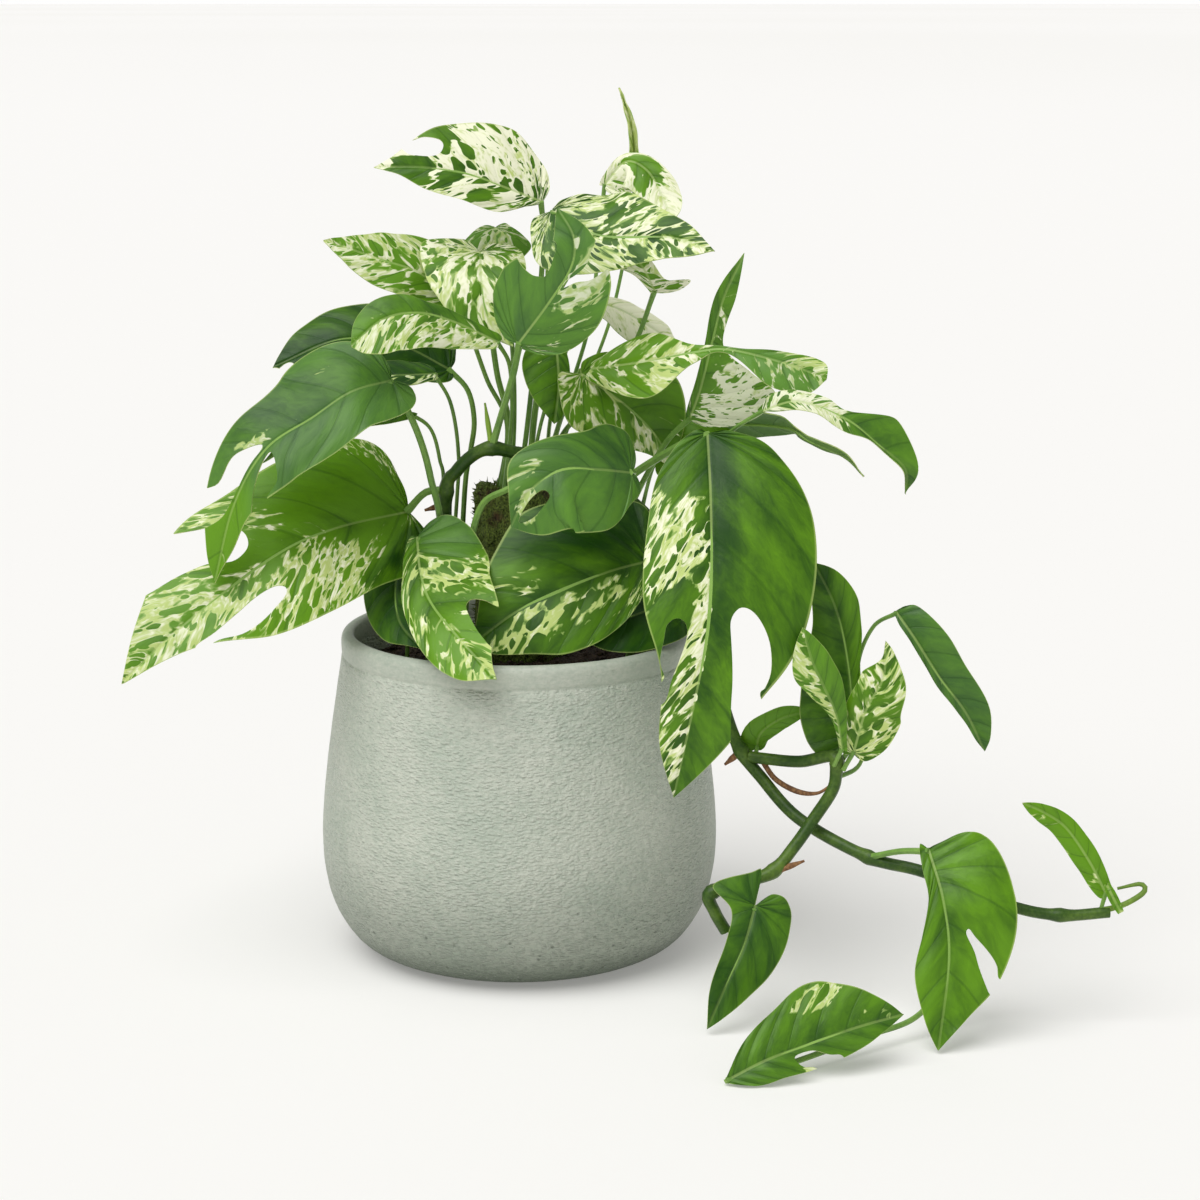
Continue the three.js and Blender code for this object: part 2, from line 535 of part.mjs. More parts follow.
// The blade as one curved surface: a plane's grid, wrapped onto the midrib and out along the side veins
function bladeSurface(leaf) {
  const curve = smoothCurve(leaf.rib);
  const length = curve.getLength();
  const margins = { left: outlineCurve(leaf.left, length), right: outlineCurve(leaf.right, length) };
  const surface = new THREE.PlaneGeometry(2, 1, 2 * ACROSS, ROWS.length - 1);
  const grid = surface.attributes.position;
  for (let i = 0; i < grid.count; i += 1) {
    const t = ROWS[Math.floor(i / (2 * ACROSS + 1))] / OUTLINE_SPANS;
    const across = (i % (2 * ACROSS + 1)) / ACROSS - 1;
    const rim = margins[across < 0 ? "left" : "right"].getPoint(t);
    const feet = [margins.left.getPoint(t), margins.right.getPoint(t)];
    const [a, b] = feet.map(({ x, y }) => THREE.MathUtils.clamp(x - VEIN_SLANT * Math.max(y, 0), 0, length));
    const foot = (a + b) / 2;
    const reach = Math.abs(across);
    const along = foot + (rim.x - foot) * reach * (0.7 + 0.3 * reach);
    const out = Math.max(rim.y, 0) * reach;
    grid.setXYZ(i, ...bladeSpot(leaf, curve, length, along, Math.sign(across) * out));
  }
  return surface;
}

// A spot on the blade: along the midrib, then out over a half that lifts from it and droops to its margin
function bladeSpot(leaf, curve, length, along, out) {
  const u = THREE.MathUtils.clamp(along / length, 0, 1);
  const tangent = curve.getTangentAt(u);
  const spot = curve.getPointAt(u).addScaledVector(tangent, Math.min(along, 0));
  const normal = new THREE.Vector3(...leaf.face);
  normal.addScaledVector(tangent, -normal.dot(tangent)).normalize();
  const right = new THREE.Vector3().crossVectors(tangent, normal);
  const width = halfWidth(out < 0 ? leaf.left : leaf.right);
  const lift = THREE.MathUtils.degToRad(leaf.lift ?? LIFT);
  const bend = THREE.MathUtils.degToRad(leaf.droop ?? DROOP) / width;
  const turn = lift - bend * Math.abs(out);
  spot.addScaledVector(right, (Math.sign(out) * (Math.sin(lift) - Math.sin(turn))) / bend);
  spot.addScaledVector(normal, (Math.cos(turn) - Math.cos(lift)) / bend);
  return spot.toArray();
}

// Gives a surface its thickness: two faces that are split into triangles alike, and a strip round the edge
function thicken(surface, thickness) {
  const { spots, corners } = weld(surface);
  const count = spots.length / 3;
  const base = new THREE.BufferGeometry();
  base.setAttribute("position", new THREE.BufferAttribute(Float32Array.from(spots), 3));
  base.setIndex(corners);
  base.computeVertexNormals();
  const normals = base.attributes.normal.array;
  const both = [];
  for (const shift of [thickness / 2, -thickness / 2]) {
    for (let i = 0; i < spots.length; i += 1) both.push(spots[i] + shift * normals[i]);
  }
  const faces = [...corners];
  for (let i = 0; i < corners.length; i += 3) {
    faces.push(corners[i] + count, corners[i + 2] + count, corners[i + 1] + count);
  }
  const edges = new Set();
  for (let i = 0; i < corners.length; i += 3) {
    for (let k = 0; k < 3; k += 1) edges.add(`${corners[i + k]} ${corners[i + ((k + 1) % 3)]}`);
  }
  for (const edge of edges) {
    const [a, b] = edge.split(" ").map(Number);
    if (!edges.has(`${b} ${a}`)) faces.push(b, a, a + count, b, a + count, b + count);
  }
  const solid = new THREE.BufferGeometry();
  solid.setAttribute("position", new THREE.BufferAttribute(Float32Array.from(both), 3));
  solid.setIndex(faces);
  return solid;
}

// A wide leaf stands on a thick stalk
function stalkRadius(leaf) {
  const width = halfWidth(leaf.left) + halfWidth(leaf.right);
  return THREE.MathUtils.clamp(STALK_THIN / 2 + width * STALK_PER_WIDTH, STALK_THIN, STALK_THICK);
}

// The leaf stalk runs from its foot to just past the start of the midrib
function stalkPath(leaf) {
  const curve = smoothCurve(leaf.rib);
  return [...leaf.stalk, curve.getPointAt(0).addScaledVector(curve.getTangentAt(0), 1).toArray()];
}

// The space that a split takes out of a blade, from its outline as spots along and out from the midrib
function splitSolid(leaf, outline) {
  const curve = smoothCurve(leaf.rib);
  const length = curve.getLength();
  const corners = outline.map(([along, out]) => new THREE.Vector2(along, out));
  const flat = new THREE.ShapeGeometry(new THREE.Shape(corners));
  const spots = flat.attributes.position;
  for (let i = 0; i < spots.count; i += 1) {
    spots.setXYZ(i, ...bladeSpot(leaf, curve, length, spots.getX(i), spots.getY(i)));
  }
  return solidOf(thicken(flat, 2 * SPLIT_DEPTH));
}

function leafSolid(leaf) {
  const whole = solidOf(thicken(bladeSurface(leaf), BLADE_THICKNESS));
  const blade = leaf.cuts.reduce((left, outline) => left.subtract(splitSolid(leaf, outline)), whole);
  const stalk = solidOf(tube(stalkPath(leaf), stalkRadius(leaf), STALK_SIDES, STALK_STEP));
  return blade.add(stalk);
}

function joined(solids) {
  return solids.reduce((whole, piece) => whole.add(piece));
}

// A vine with its swollen nodes, grown by spare on every side
function vine(lines, nodes, spare = 0) {
  const stems = lines.map(({ points, radius }) => {
    return solidOf(tube(points, radius + spare, VINE_SIDES, VINE_STEP));
  });
  const knots = nodes.map((node) => {
    const knot = new THREE.SphereGeometry(NODE_RADIUS + spare, NODE_SIDES, Math.ceil(NODE_SIDES / 2));
    return solidOf(knot.translate(...node));
  });
  return joined([...stems, ...knots]);
}

function vineLong(spare) {
  const lines = [
    { points: VINE_LONG, radius: VINE_RADIUS },
    { points: VINE_LONG_TIP, radius: ROOT_RADIUS },
    { points: SHEATH_STUB, radius: STUB_RADIUS },
    { points: RIM_STUB, radius: STUB_RADIUS },
    { points: ARCH_STUB, radius: STUB_RADIUS },
  ];
  return vine(lines, VINE_LONG_NODES, spare);
}

function vineShort(spare) {
  const lines = [
    { points: VINE_SHORT, radius: VINE_SHORT_RADIUS },
    { points: AERIAL_ROOT, radius: ROOT_RADIUS },
    { points: SHORT_STUB, radius: STUB_RADIUS },
  ];
  return vine(lines, VINE_SHORT_NODES, spare);
}

function lathe(profile, sides) {
  const turned = new THREE.LatheGeometry(profile.map(([r, z]) => new THREE.Vector2(r, z)), sides);
  return turned.rotateX(Math.PI / 2);
}

function potInside(spare) {
  return POT_INSIDE.map(([radius, z], index) => [Math.max(radius - spare, 0), index < 2 ? z + spare : z]);
}

function potSolid() {
  const inside = potInside(0);
  return solidOf(lathe([[0, 0], ...POT_OUTSIDE, ...POT_RIM, ...inside.reverse()], POT_SIDES));
}

// Uneven ground, the same at each run
function unevenness(x, y) {
  return Math.sin(x * 0.31 + 1.3) * Math.cos(y * 0.27) + 0.6 * Math.sin(x * 0.13 - y * 0.21);
}

function soilSolid() {
  const inside = potInside(GAP).filter(([, z]) => z < SOIL_TOP - 2);
  const ground = [];
  for (let ring = SOIL_RINGS; ring >= 0; ring -= 1) {
    const share = ring / SOIL_RINGS;
    ground.push([SOIL_EDGE * share, SOIL_TOP - SOIL_CROWN * share * share]);
  }
  const geometry = lathe([...inside, ...ground], POT_SIDES / 2);
  const spots = geometry.attributes.position;
  for (let i = 0; i < spots.count; i += 1) {
    const [x, y, z] = [spots.getX(i), spots.getY(i), spots.getZ(i)];
    const isGround = z > SOIL_TOP - SOIL_CROWN - 1 && Math.hypot(x, y) < SOIL_EDGE - 1;
    if (isGround) spots.setZ(i, z + unevenness(x, y));
  }
  return solidOf(geometry);
}

// The stake is a rough round column, flat below and ragged on top
function stakeSolid(spare) {
  const { x, y, radius, bottom, top, sides, rings } = STAKE;
  const wide = radius + spare;
  const column = new THREE.CylinderGeometry(wide, wide, top - bottom + 2 * spare, sides, rings);
  column.rotateX(Math.PI / 2).translate(0, 0, (top + bottom) / 2);
  const spots = column.attributes.position;
  for (let i = 0; i < spots.count; i += 1) {
    const [px, py, pz] = [spots.getX(i), spots.getY(i), spots.getZ(i)];
    const swell = 1 + (STAKE_ROUGH / radius) * Math.sin(STAKE_RIBS * Math.atan2(py, px) + pz * STAKE_WIND);
    const ragged = pz > top - 1 ? STAKE_ROUGH * Math.sin(px * 0.4 + py * 0.3) : 0;
    spots.setXYZ(i, px * swell, py * swell, pz + ragged);
  }
  return solidOf(column.translate(x, y, 0));
}

function mesh(name, solid, color, roughness = 0.45) {
  const made = new THREE.Mesh(
    geometryOf(solid),
    new THREE.MeshStandardMaterial({ color, roughness, metalness: 0 }),
  );
  made.name = name;
  return made;
}

// The hole that a stem stands in
function socket(points, radius) {
  return solidOf(tube(points, radius + GAP, STALK_SIDES, STALK_STEP));
}

function plant() {
  const holes = { soil: [], moss_stake: [] };
  for (const leaf of LEAVES) {
    if (!holes[leaf.on]) continue;
    const [foot, next] = vectors(leaf.stalk);
    const below = foot.clone().add(foot.clone().sub(next).setLength(GAP)).toArray();
    holes[leaf.on].push(socket([below, ...stalkPath(leaf)], stalkRadius(leaf)));
  }
  holes.soil.push(vineLong(GAP), stakeSolid(GAP));
  const around = { vine_long: vineLong(GAP), vine_short: vineShort(GAP) };

  const group = new THREE.Group();
  group.name = "marble_king_pothos";
  group.add(mesh("pot", potSolid(), 0xaab0a2, 0.4));
  group.add(mesh("soil", soilSolid().subtract(joined(holes.soil)), 0x33261b, 0.95));
  group.add(mesh("moss_stake", stakeSolid(0).subtract(joined(holes.moss_stake)), 0x3d3a1c, 0.95));
  group.add(mesh("vine_long", vineLong(0), 0x3f6b35));
  group.add(mesh("vine_short", vineShort(0).subtract(around.vine_long), 0x4a7335));
  for (const leaf of LEAVES.filter(({ on }) => !on.startsWith("leaf"))) {
    const twins = LEAVES.filter(({ on }) => on === leaf.name);
    const solid = joined([leaf, ...twins].map(leafSolid));
    group.add(mesh(leaf.name, around[leaf.on] ? solid.subtract(around[leaf.on]) : solid, leaf.green));
  }
  return group;
}

export default plant();
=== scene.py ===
import logging
import math
import random
from collections.abc import Callable
from dataclasses import dataclass
from dataclasses import field
from enum import Enum

import bpy
import numpy as np
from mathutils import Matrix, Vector


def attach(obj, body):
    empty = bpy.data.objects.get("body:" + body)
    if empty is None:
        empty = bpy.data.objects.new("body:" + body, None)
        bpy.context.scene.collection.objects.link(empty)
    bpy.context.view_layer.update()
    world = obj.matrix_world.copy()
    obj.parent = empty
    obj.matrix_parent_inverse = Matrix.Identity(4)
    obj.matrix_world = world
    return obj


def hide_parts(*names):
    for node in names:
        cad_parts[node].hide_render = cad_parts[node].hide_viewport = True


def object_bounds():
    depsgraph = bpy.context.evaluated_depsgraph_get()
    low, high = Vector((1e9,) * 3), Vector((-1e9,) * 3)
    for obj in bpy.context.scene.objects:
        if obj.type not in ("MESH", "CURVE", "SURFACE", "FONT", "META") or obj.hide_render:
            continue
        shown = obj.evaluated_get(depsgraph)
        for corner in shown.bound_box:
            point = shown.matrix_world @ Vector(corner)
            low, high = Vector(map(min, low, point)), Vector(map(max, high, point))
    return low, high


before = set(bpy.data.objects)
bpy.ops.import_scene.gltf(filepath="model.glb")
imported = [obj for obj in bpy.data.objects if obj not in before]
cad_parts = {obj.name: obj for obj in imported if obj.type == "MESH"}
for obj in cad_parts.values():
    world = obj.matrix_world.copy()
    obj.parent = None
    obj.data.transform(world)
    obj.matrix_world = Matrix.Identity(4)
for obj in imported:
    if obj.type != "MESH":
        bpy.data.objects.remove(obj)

# Everything on the plant is given in millimetres, as in the part's source, and built in metres
MM = 0.001

# Faces that meet at less than this are shaded as one, on leaves and stems, and on the pot and the stake
SMOOTH_LEAF = math.radians(50)
SMOOTH_POT = math.radians(60)

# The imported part's box, in metres
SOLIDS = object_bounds()

log = logging.getLogger("potted pothos")

Spot = tuple[float, float, float]
Flat = tuple[float, float]
Colour = tuple[float, float, float, float]


def tint(red: int, green: int, blue: int) -> Colour:
    """Turns a colour read as display values from 0 to 255 into the renderer's linear one.

    Args:
        red: The red share.
        green: The green share.
        blue: The blue share.

    Returns:
        The linear colour with full alpha.
    """
    shares = [value / 255 for value in (red, green, blue)]
    linear = [share / 12.92 if share < 0.04 else ((share + 0.055) / 1.055) ** 2.4 for share in shares]
    return (linear[0], linear[1], linear[2], 1.0)


class Slot(Enum):
    """The material slots."""

    POT = "glazed_pot"
    SOIL = "potting_soil"
    MOSS = "mossy_coir"
    STEM = "green_stem"
    GREEN = "green_leaf"
    MARBLED = "marbled_leaf"


class Side(Enum):
    """A blade's half, seen on its upper face with the tip away from the viewer."""

    LEFT = -1
    RIGHT = 1


class Flow:
    """A socket whose value Python arithmetic builds on, one Math node for each step."""

    def __init__(self, bench: "Bench", socket: bpy.types.NodeSocket) -> None:
        """Keeps the bench that makes the nodes and the socket that this value comes from."""
        self.bench = bench
        self.socket = socket

    def step(self, operation: str, *values: "Flow | float") -> "Flow":
        """Adds one Math node.

        Args:
            operation: The Math node's operation.
            values: What goes into its sockets, in order.

        Returns:
            The node's result.
        """
        inputs = dict(enumerate(values))
        return self.bench.node("ShaderNodeMath", {"operation": operation}, inputs)[0]

    def __add__(self, other: "Flow | float") -> "Flow":
        """Adds."""
        return self.step("ADD", self, other)

    def __radd__(self, other: float) -> "Flow":
        """Adds to a number."""
        return self.step("ADD", other, self)

    def __sub__(self, other: "Flow | float") -> "Flow":
        """Takes away."""
        return self.step("SUBTRACT", self, other)

    def __rsub__(self, other: float) -> "Flow":
        """Takes this away from a number."""
        return self.step("SUBTRACT", other, self)

    def __mul__(self, other: "Flow | float") -> "Flow":
        """Multiplies."""
        return self.step("MULTIPLY", self, other)

    def __rmul__(self, other: float) -> "Flow":
        """Multiplies a number."""
        return self.step("MULTIPLY", other, self)

    def __abs__(self) -> "Flow":
        """Drops the sign."""
        return self.step("ABSOLUTE", self)

    def fraction(self) -> "Flow":
        """Keeps what is after the decimal point."""
        return self.step("FRACT", self)

    def smooth(self, start: float, end: float) -> "Flow":
        """Rises smoothly from 0 at start to 1 at end, or falls where end is the smaller.

        Args:
            start: The value that gives 0.
            end: The value that gives 1.

        Returns:
            The share from 0 to 1.
        """
        settings = {"interpolation_type": "SMOOTHSTEP"}
        inputs = {"Value": self, "From Min": start, "From Max": end}
        return self.bench.node("ShaderNodeMapRange", settings, inputs)["Result"]


class Outlets:
    """The outputs of a node, by place or name, as flows."""

    def __init__(self, bench: "Bench", node: bpy.types.Node) -> None:
        """Keeps the bench and the node."""
        self.bench = bench
        self.made = node

    def __getitem__(self, key: int | str) -> Flow:
        """Gives one output."""
        return Flow(self.bench, self.made.outputs[key])


class Bench:
    """A node tree, with the few kinds of work that the finishes do on it."""

    def __init__(self, owner: bpy.types.Material | bpy.types.World, kind: str, output: str) -> None:
        """Clears an owner's nodes and gives it one shader.

        Args:
            owner: The material or world.
            kind: The shader's type.
            output: The output node's type.
        """
        owner.use_nodes = True
        self.tree = owner.node_tree
        self.tree.nodes.clear()
        surface = self.tree.nodes.new(output)
        self.shader = self.tree.nodes.new(kind)
        self.tree.links.new(self.shader.outputs[0], surface.inputs["Surface"])

    def node(self, kind: str, settings: dict, inputs: dict) -> Outlets:
        """Adds a node, sets it, then fills its sockets.

        Args:
            kind: The node's type.
            settings: Its properties.
            inputs: Values or flows for its sockets, by place or name.

        Returns:
            The node's outputs.
        """
        made = self.tree.nodes.new(kind)
        for name, value in settings.items():
            setattr(made, name, value)
        for key, value in inputs.items():
            self.feed(made.inputs[key], value)
        return Outlets(self, made)

    def feed(self, socket: bpy.types.NodeSocket, value: "Flow | float | tuple") -> None:
        """Links a flow to a socket, or sets the socket's own value.

        Args:
            socket: The socket that takes it.
            value: A flow, a number, a vector or a colour.
        """
        if isinstance(value, Flow):
            self.tree.links.new(value.socket, socket)
        else:
            socket.default_value = value

    def place(self) -> Flow:
        """Gives the spot on the object, in metres."""
        return self.node("ShaderNodeTexCoord", {}, {})["Object"]

    def attribute(self, name: str) -> list[Flow]:
        """Reads one of the mesh's own vectors.

        Args:
            name: The attribute's name.

        Returns:
            Its three values.
        """
        return self.split(self.node("ShaderNodeAttribute", {"attribute_name": name}, {})["Vector"])

    def split(self, vector: Flow) -> list[Flow]:
        """Gives a vector's three values."""
        parts = self.node("ShaderNodeSeparateXYZ", {}, {0: vector})
        return [parts[0], parts[1], parts[2]]

    def vector(self, x: "Flow | float", y: "Flow | float", z: "Flow | float") -> Flow:
        """Makes a vector of three values."""
        return self.node("ShaderNodeCombineXYZ", {}, {0: x, 1: y, 2: z})[0]

    def noise(self, vector: Flow, scale: float, detail: float = 2.0, roughness: float = 0.5) -> Flow:
        """Makes soft noise around zero.

        Args:
            vector: Where it is read.
            scale: How many waves there are in one unit of the vector.
            detail: How many finer layers it has.
            roughness: How strong the finer layers are.

        Returns:
            The noise, from about -0.5 to 0.5.
        """
        inputs = {"Vector": vector, "Scale": scale, "Detail": detail, "Roughness": roughness}
        return self.node("ShaderNodeTexNoise", {"noise_dimensions": "3D"}, inputs)["Fac"] - 0.5

    def cells(self, vector: Flow, scale: float, feature: str = "F1") -> Flow:
        """Measures how far a spot is from scattered points, or from the borders between them.

        Args:
            vector: Where it is read.
            scale: How many points there are along one unit of the vector.
            feature: F1 for the nearest point, DISTANCE_TO_EDGE for the nearest border.

        Returns:
            The distance.
        """
        inputs = {"Vector": vector, "Scale": scale}
        return self.node("ShaderNodeTexVoronoi", {"feature": feature}, inputs)["Distance"]

    def mix(self, share: "Flow | float", first: "Flow | Colour", second: "Flow | Colour") -> Flow:
        """Mixes two colours.

        Args:
            share: How much of the second there is.
            first: The colour at 0.
            second: The colour at 1.

        Returns:
            The mixed colour.
        """
        settings = {"data_type": "RGBA", "clamp_factor": True}
        made = self.node("ShaderNodeMix", settings, {0: share, 6: first, 7: second})
        return made[2]

    def bump(self, height: Flow, distance: float, strength: float = 1.0) -> Flow:
        """Turns heights into a bent normal.

        Args:
            height: The height, in units of distance.
            distance: What a height of 1 is, in metres.
            strength: How much of it shows.

        Returns:
            The normal.
        """
        inputs = {"Height": height, "Distance": distance, "Strength": strength}
        return self.node("ShaderNodeBump", {}, inputs)["Normal"]

    def fill(self, **sockets: "Flow | float | tuple") -> None:
        """Fills the shader's own sockets.

        Args:
            sockets: Values by the socket's name, with _ for each space.
        """
        for name, value in sockets.items():
            self.feed(self.shader.inputs[name.replace("_", " ")], value)


class Skin(Bench):
    """The node tree of a material with a Principled shader."""

    def __init__(self, name: str) -> None:
        """Makes the material.

        Args:
            name: The material's name.
        """
        self.material = bpy.data.materials.new(name)
        super().__init__(self.material, "ShaderNodeBsdfPrincipled", "ShaderNodeOutputMaterial")

    def finish(self, **sockets: "Flow | float | tuple") -> bpy.types.Material:
        """Fills the shader's sockets and hands the material over.

        Args:
            sockets: Values by the socket's name, with _ for each space.

        Returns:
            The material.
        """
        self.fill(**sockets)
        return self.material


@dataclass(frozen=True)
class Blade:
    """A blade's face: greens with cream marbling along the side veins, a pale midrib, a pale edge and a
    painted grey sheen on some leaves.
    """

    name: str
    deep: Colour = tint(26, 68, 2)
    fresh: Colour = tint(96, 146, 16)
    soft: Colour = tint(150, 180, 92)
    lime: Colour = tint(190, 208, 122)
    cream: Colour = tint(243, 244, 214)
    sheen_grey: Colour = tint(84, 124, 74)
    vein: Colour = tint(168, 192, 112)
    roughness: float = 0.42
    vein_depth: float = 0.08
    shine: float = 0.28
    across_veins: float = 0.1
    along_veins: float = 0.046
    cloud_scale: float = 1.2
    streak_scale: float = 4.6
    speck_scale: float = 12.0
    blot_scale: float = 2.4
    dot_scale: float = 5.0
    warp_scale: float = 2.4

    def build(self) -> bpy.types.Material:
        """Makes the finish.

        Returns:
            The material, which reads the vectors blade, plan, marble and tone of the mesh.
        """
        bench = Skin(self.name)
        down, out, share = bench.attribute("blade")
        phase, seed, tipward = bench.attribute("plan")
        cream, depth, sheen_grey = bench.attribute("marble")
        lime, fleck, _ = bench.attribute("tone")
        grain = bench.vector(down * self.across_veins, out * 0.05, seed)
        crossed = bench.vector(out * 0.05, down * self.across_veins, seed + 9.0)
        drift = bench.noise(grain, self.warp_scale, 1.0)
        sway = bench.noise(crossed, self.warp_scale, 1.0)
        across = down * self.across_veins + drift * 0.4
        flow = bench.vector(across, out * self.along_veins + sway * 0.35, seed)
        clouds = bench.noise(flow, self.cloud_scale, 1.5)
        streaks = bench.noise(flow, self.streak_scale, 1.5, 0.5)
        specks = bench.noise(flow, self.speck_scale, 1.0)
        blotted = (clouds * 3.0 + 0.6).smooth(0.2, 0.5)
        blots = bench.cells(flow, self.blot_scale).smooth(0.42, 0.34) * blotted * fleck
        dotted = (streaks * 3.0 + 0.6).smooth(0.2, 0.5)
        dots = bench.cells(flow, self.dot_scale).smooth(0.36, 0.26) * dotted * fleck
        level = cream + clouds * 1.3 + streaks * 2.1 + specks * 0.5 - (blots + dots * 0.9)
        from_vein = 0.5 - abs(phase.fraction() - 0.5)
        vein_line = from_vein.smooth(0.05, 0.012)
        near_rib = abs(out).smooth(11.0, 1.0)
        darker = depth + clouds * 0.8 + streaks * 0.4 + specks * 0.2 + near_rib * 0.15 - from_vein * 0.3
        green = bench.mix(darker.smooth(0.0, 1.0), self.fresh, self.deep)
        veil = (streaks * -1.4 + specks * 1.4 + clouds * 0.8 + lime).smooth(0.2, 0.9)
        pale = bench.mix(veil, self.cream, self.lime)
        marbled = bench.mix(level.smooth(0.3, 0.44) * 0.85, green, self.soft)
        marbled = bench.mix(level.smooth(0.46, 0.51), marbled, pale)
        # Painted sheen: a bluish grey mixed into the colour, standing in for the reflection of the bright
        # surroundings.
        sheened = bench.mix(sheen_grey, marbled, self.sheen_grey)
        lined = bench.mix(vein_line * (0.3 - level.smooth(0.2, 0.5) * 0.25), sheened, self.deep)
        midrib = abs(out).smooth(0.75, 0.3) * (1.0 - tipward * 0.6)
        ribbed = bench.mix(midrib * (cream.smooth(-1.0, 0.5) * 0.35 + 0.3), lined, self.vein)
        edged = bench.mix(share.smooth(0.975, 0.99) * 0.4, ribbed, self.lime)
        relief = (vein_line * -self.vein_depth) + (abs(out).smooth(1.4, 0.3) * -0.2)
        relief = relief + specks * 0.08 + streaks * 0.12
        return bench.finish(
            Base_Color=edged,
            Roughness=self.roughness + streaks * 0.15 + level.smooth(0.45, 0.6) * 0.08,
            Normal=bench.bump(relief, MM, 0.9),
            Specular_IOR_Level=self.shine,
        )


@dataclass(frozen=True)
class BladeEdge:
    """The thin pale rim that runs round a blade and its splits."""

    name: str = "blade_edge"
    pale: Colour = tint(206, 216, 142)
    green: Colour = tint(132, 168, 74)

    def build(self) -> bpy.types.Material:
        """Makes the finish."""
        bench = Skin(self.name)
        patchy = bench.noise(bench.place(), 160.0, 2.0).smooth(-0.2, 0.2)
        colour = bench.mix(patchy, self.pale, self.green)
        return bench.finish(Base_Color=colour, Roughness=patchy * 0.1 + 0.4)


@dataclass(frozen=True)
class Stem:
    """Smooth satin skin of vines and leaf stalks: green, with brown dry ends where the mesh says so."""

    name: str
    dark: Colour = tint(38, 70, 16)
    light: Colour = tint(140, 174, 66)
    brown: Colour = tint(112, 78, 52)
    dry: Colour = tint(150, 112, 74)
    roughness: float = 0.42
    shine: float = 0.3

    def build(self) -> bpy.types.Material:
        """Makes the finish.

        Returns:
            The material, which reads how far along, how brown and how pale the stem is from the mesh.
        """
        bench = Skin(self.name)
        along, brown, pale = bench.attribute("stem")
        spot = bench.place()
        blotches = bench.noise(spot, 90.0, 3.0)
        fine = bench.noise(spot, 700.0, 2.0)
        green = bench.mix((pale + blotches * 0.8 + fine * 0.3).smooth(0.0, 1.0), self.dark, self.light)
        bark = bench.mix((fine * 2.0 + blotches).smooth(-0.3, 0.4), self.brown, self.dry)
        colour = bench.mix((brown + blotches * 0.4).smooth(0.35, 0.65), green, bark)
        rings = (along * 0.9 + blotches * 2.0).fraction()
        ridges = abs(rings - 0.5) * brown
        return bench.finish(
            Base_Color=colour,
            Roughness=self.roughness + brown * 0.35 + fine * 0.1,
            Normal=bench.bump(fine * 0.12 + ridges * 0.25, MM, 0.8),
            Specular_IOR_Level=self.shine,
        )


@dataclass(frozen=True)
class Glaze:
    """Satin sage glaze over a hammered wall: mottled, with short dashes, small pits and pale specks, with
    painted shade darkening it towards the foot and a slightly darker rim band.
    """

    name: str = "sage_glaze"
    pale: Colour = tint(196, 200, 186)
    sage: Colour = tint(168, 179, 163)
    shade: Colour = tint(86, 98, 80)
    foot_height: float = 0.022
    belly_height: float = 0.075
    rim_height: float = 0.1395
    relief: float = 0.0022

    def build(self) -> bpy.types.Material:
        """Makes the finish."""
        bench = Skin(self.name)
        spot = bench.place()
        x, y, z = bench.split(spot)
        dashed = bench.vector(x, y, z * 2.2)
        cloud = bench.noise(spot, 28.0, 3.0)
        dashes = bench.noise(dashed, 300.0, 2.5, 0.6)
        fine = bench.noise(spot, 900.0, 2.0)
        # Painted shade: the colour darkens from the belly down and most at the foot ring; the rim band is
        # also a little darker.
        low = z.smooth(self.belly_height, 0.0)
        foot = z.smooth(self.foot_height, 0.001)
        band = z.smooth(self.rim_height - 0.001, self.rim_height + 0.0006)
        mottle = cloud * 1.0 + dashes * 1.1 + fine * 0.6
        ground = bench.mix((mottle + 0.5).smooth(0.0, 1.0), self.sage, self.pale)
        low_shade_and_dark_rim = bench.mix(low * 0.5 + foot * 0.5 + band * 0.12, ground, self.shade)
        pits = bench.cells(spot, 150.0).smooth(0.14, 0.05) * (low + 0.25)
        grains = bench.cells(spot, 260.0).smooth(0.16, 0.06) * (low + 0.1)
        # Painted shade darkens the pits.
        flecked = bench.mix(pits * 0.5, low_shade_and_dark_rim, self.shade)
        flecked = bench.mix(grains * 0.6, flecked, self.pale)
        throwing = (z * 260.0 + cloud).fraction()
        ridges = abs(throwing - 0.5) * z.smooth(0.09, 0.14)
        smoother = 1.0 - band * 0.8
        domes = bench.cells(dashed, 380.0).smooth(0.7, 0.1)
        height = ((dashes * 0.7 + domes * 0.3) * (0.6 + low * 0.7) + fine * 0.25 + ridges * 0.06) * smoother
        height = height - pits * 0.3 + grains * 0.3
        return bench.finish(
            Base_Color=flecked,
            Roughness=0.5 + fine * 0.2 + dashes * 0.1,
            Normal=bench.bump(height, self.relief, 1.0),
            Coat_Weight=0.04,
            Coat_Roughness=0.35,
        )


@dataclass(frozen=True)
class Earth:
    """Dark crumbly potting soil."""

    name: str = "dark_soil"
    dark: Colour = tint(34, 26, 20)
    brown: Colour = tint(74, 56, 42)

    def build(self) -> bpy.types.Material:
        """Makes the finish."""
        bench = Skin(self.name)
        spot = bench.place()
        lumps = bench.noise(spot, 160.0, 4.0, 0.6)
        fine = bench.noise(spot, 900.0, 2.0)
        colour = bench.mix((lumps * 2.0 + fine + 0.4).smooth(0.0, 1.0), self.dark, self.brown)
        return bench.finish(
            Base_Color=colour, Roughness=0.92 + fine * 0.1, Normal=bench.bump(lumps + fine * 0.4, 0.002, 1.0)
        )


